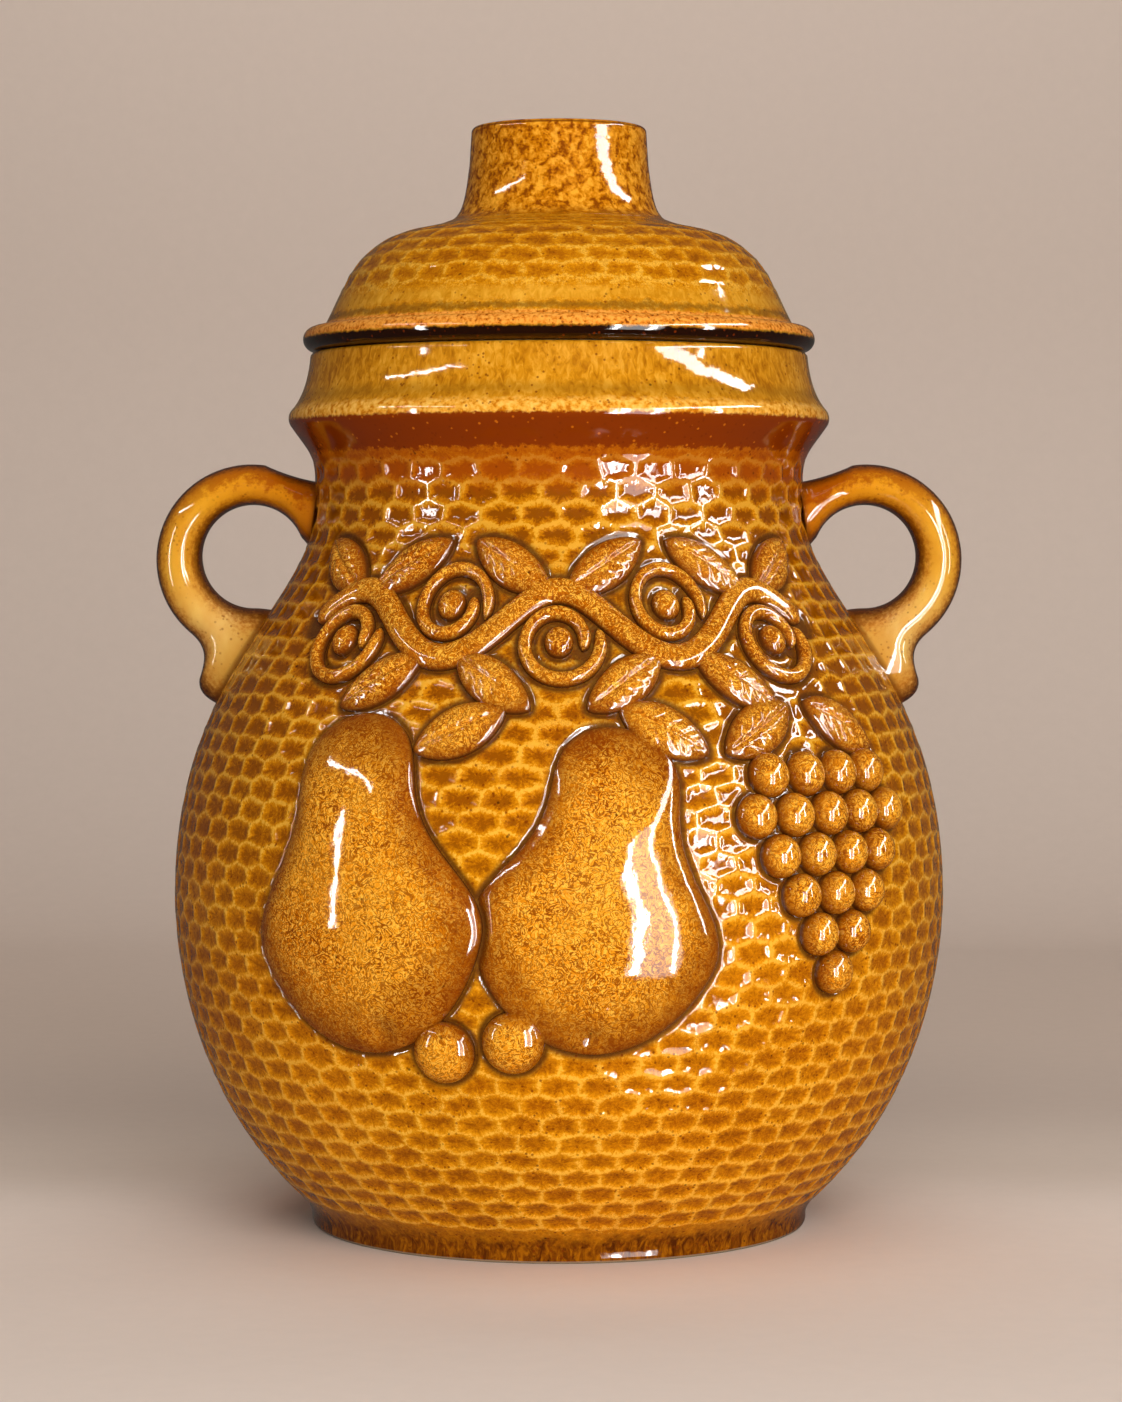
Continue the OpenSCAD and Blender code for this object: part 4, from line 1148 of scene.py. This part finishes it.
def soft_box(name, az, rise, distance, width, height, watts, roll=0.0, fill=False, aim=None):
    """A rectangular lamp at an angle from the front and a rise, facing the jar's middle unless
    it is aimed elsewhere. A fill lights the jar without a reflection of its own, and the others
    are seen only as reflections in the glaze."""
    data = bpy.data.lights.new(name, "AREA")
    data.shape = "RECTANGLE"
    data.size, data.size_y = width, height
    data.energy = watts
    data.color = (1.0, 0.99, 0.97)
    obj = bpy.data.objects.new(name, data)
    bpy.context.collection.objects.link(obj)
    a, e = math.radians(az), math.radians(rise)
    way = Vector((math.cos(e) * math.sin(a), -math.cos(e) * math.cos(a), math.sin(e)))
    obj.location = Vector((0, 0, 0.15)) + distance * way
    if aim is not None:
        way = (obj.location - Vector(aim)).normalized()
    turn = (-way).to_track_quat("-Z", "Y")
    obj.rotation_euler = (turn @ Quaternion((0, 0, 1), math.radians(roll))).to_euler()
    obj.visible_glossy = not fill
    obj.visible_diffuse = fill
    obj.visible_camera = False


SWEEP_START, SWEEP_R, SWEEP_TOP, SWEEP_HALF = 0.75, 0.35, 2.2, 0.75
# Tones of the paper: the floor in front of the jar, a band of painted shade behind it, and the wall
FLOOR_TONE, SHADE_BAND_TONE, WALL_TONE = rgb(228, 212, 200), rgb(196, 178, 165), rgb(204, 187, 175)


def stage():
    """A sheet of paper that lies under the jar and rises behind it, paler in front of the jar and darker in a band
    of painted shade behind it. The floor's part of it leaves no reflection in the glaze."""
    g = Graph("paper_backdrop")
    # Paler in front of the jar, darker in a band of painted shade about a quarter metre behind it, then a little
    # lighter up the wall
    tone_and_shade = g.ramp(g.parts(g.place)[1], [(0.0, FLOOR_TONE), (0.10, rgb(210, 193, 179)), (0.24, SHADE_BAND_TONE),
                                        (0.42, rgb(202, 183, 169)), (1.0, WALL_TONE)], smooth=True)
    fibre = g.ramp(g.noise(140, 5, 0.6), [(0.3, 0.975), (0.7, 1.0)])
    g.feed(g.shader.inputs["Base Color"], g.mix(1.0, tone_and_shade, fibre, "MULTIPLY"))
    g.shader.inputs["Roughness"].default_value = 0.9
    g.shader.inputs["Specular IOR Level"].default_value = 0.1
    see_through = g.node("ShaderNodeBsdfTransparent")
    sides = g.node("ShaderNodeMixShader")
    g.link(g.node("ShaderNodeNewGeometry").outputs["Backfacing"], sides.inputs[0])
    g.link(g.shader.outputs[0], sides.inputs[1])
    g.link(see_through.outputs[0], sides.inputs[2])
    g.link(sides.outputs[0], g.tree.nodes["Material Output"].inputs["Surface"])
    flat = np.linspace(-2.0, SWEEP_START, 60)
    a = np.linspace(0, math.pi / 2, 30)
    rise = np.linspace(SWEEP_R, SWEEP_TOP, 60)[1:]
    floor = np.stack([flat, 0 * flat], 1)
    wall = np.vstack([np.stack([SWEEP_START + SWEEP_R * np.sin(a), SWEEP_R * (1 - np.cos(a))], 1),
                      np.stack([0 * rise + SWEEP_START + SWEEP_R, rise], 1)])
    across = np.linspace(-SWEEP_HALF, SWEEP_HALF, 3)
    for name, profile in (("paper_floor", floor), ("paper_wall", wall)):
        points = [(x, y, z) for y, z in profile for x in across]
        obj = make_mesh(name, np.array(points) * 1000, grid_quads(len(profile), 3, wrap=False))
        dress(obj, g.material)
        obj.visible_glossy = False


def lamps():
    soft_box("fill_front", 12, 15, 1.7, 1.4, 1.2, 32, fill=True)
    soft_box("fill_top", 10, 68, 1.6, 1.6, 1.2, 7, fill=True)
    soft_box("wall_wash", 180, 66, 1.25, 1.2, 0.3, 5, fill=True, aim=(0, 1.1, 0.35))
    soft_box("window", 25, -6, 1.10, 0.08, 0.80, 13)
    soft_box("window_edge", 41, -6, 1.10, 0.05, 0.80, 7)
    soft_box("window_veil", 33, -6, 1.12, 0.46, 0.84, 11)
    soft_box("beam_right", 68, 28, 1.1, 1.30, 0.14, 18, roll=24)
    soft_box("strip_right", 67, 8, 1.0, 0.05, 0.50, 4)
    soft_box("beam_left", -66, 32, 1.1, 0.75, 0.028, 3, roll=-4)
    soft_box("strip_left", -62, 4, 1.0, 0.05, 0.55, 4)
    room()


def room():
    """A dim room that only the camera sees as pale as the paper, for the views past its edges."""
    world = bpy.data.worlds.new("studio")
    bpy.context.scene.world = world
    world.use_nodes = True
    nodes, links = world.node_tree.nodes, world.node_tree.links
    dim = nodes["Background"]
    dim.inputs["Color"].default_value = (0.95, 0.87, 0.79, 1)
    dim.inputs["Strength"].default_value = 0.08
    pale = nodes.new("ShaderNodeBackground")
    pale.inputs["Color"].default_value = (*WALL_TONE[:3], 1)
    sort = nodes.new("ShaderNodeMixShader")
    links.new(nodes.new("ShaderNodeLightPath").outputs["Is Camera Ray"], sort.inputs[0])
    links.new(dim.outputs[0], sort.inputs[1])
    links.new(pale.outputs[0], sort.inputs[2])
    links.new(sort.outputs[0], nodes["World Output"].inputs["Surface"])


def main():
    bpy.context.scene.view_settings.view_transform = "Standard"
    camera()
    stage()
    lamps()
    dress(jar(), jar_material())
    relief = relief_material()
    for obj in ornaments():
        dress(obj, relief)
    amber = handle_material()
    for side in (-1, 1):
        dress(handle(side), amber)
    ochre = lid_material()
    dress(lid_dome(), ochre)
    dress(lid_knob(), ochre)
    dress(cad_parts["lid_ring"], clay_material())


main()
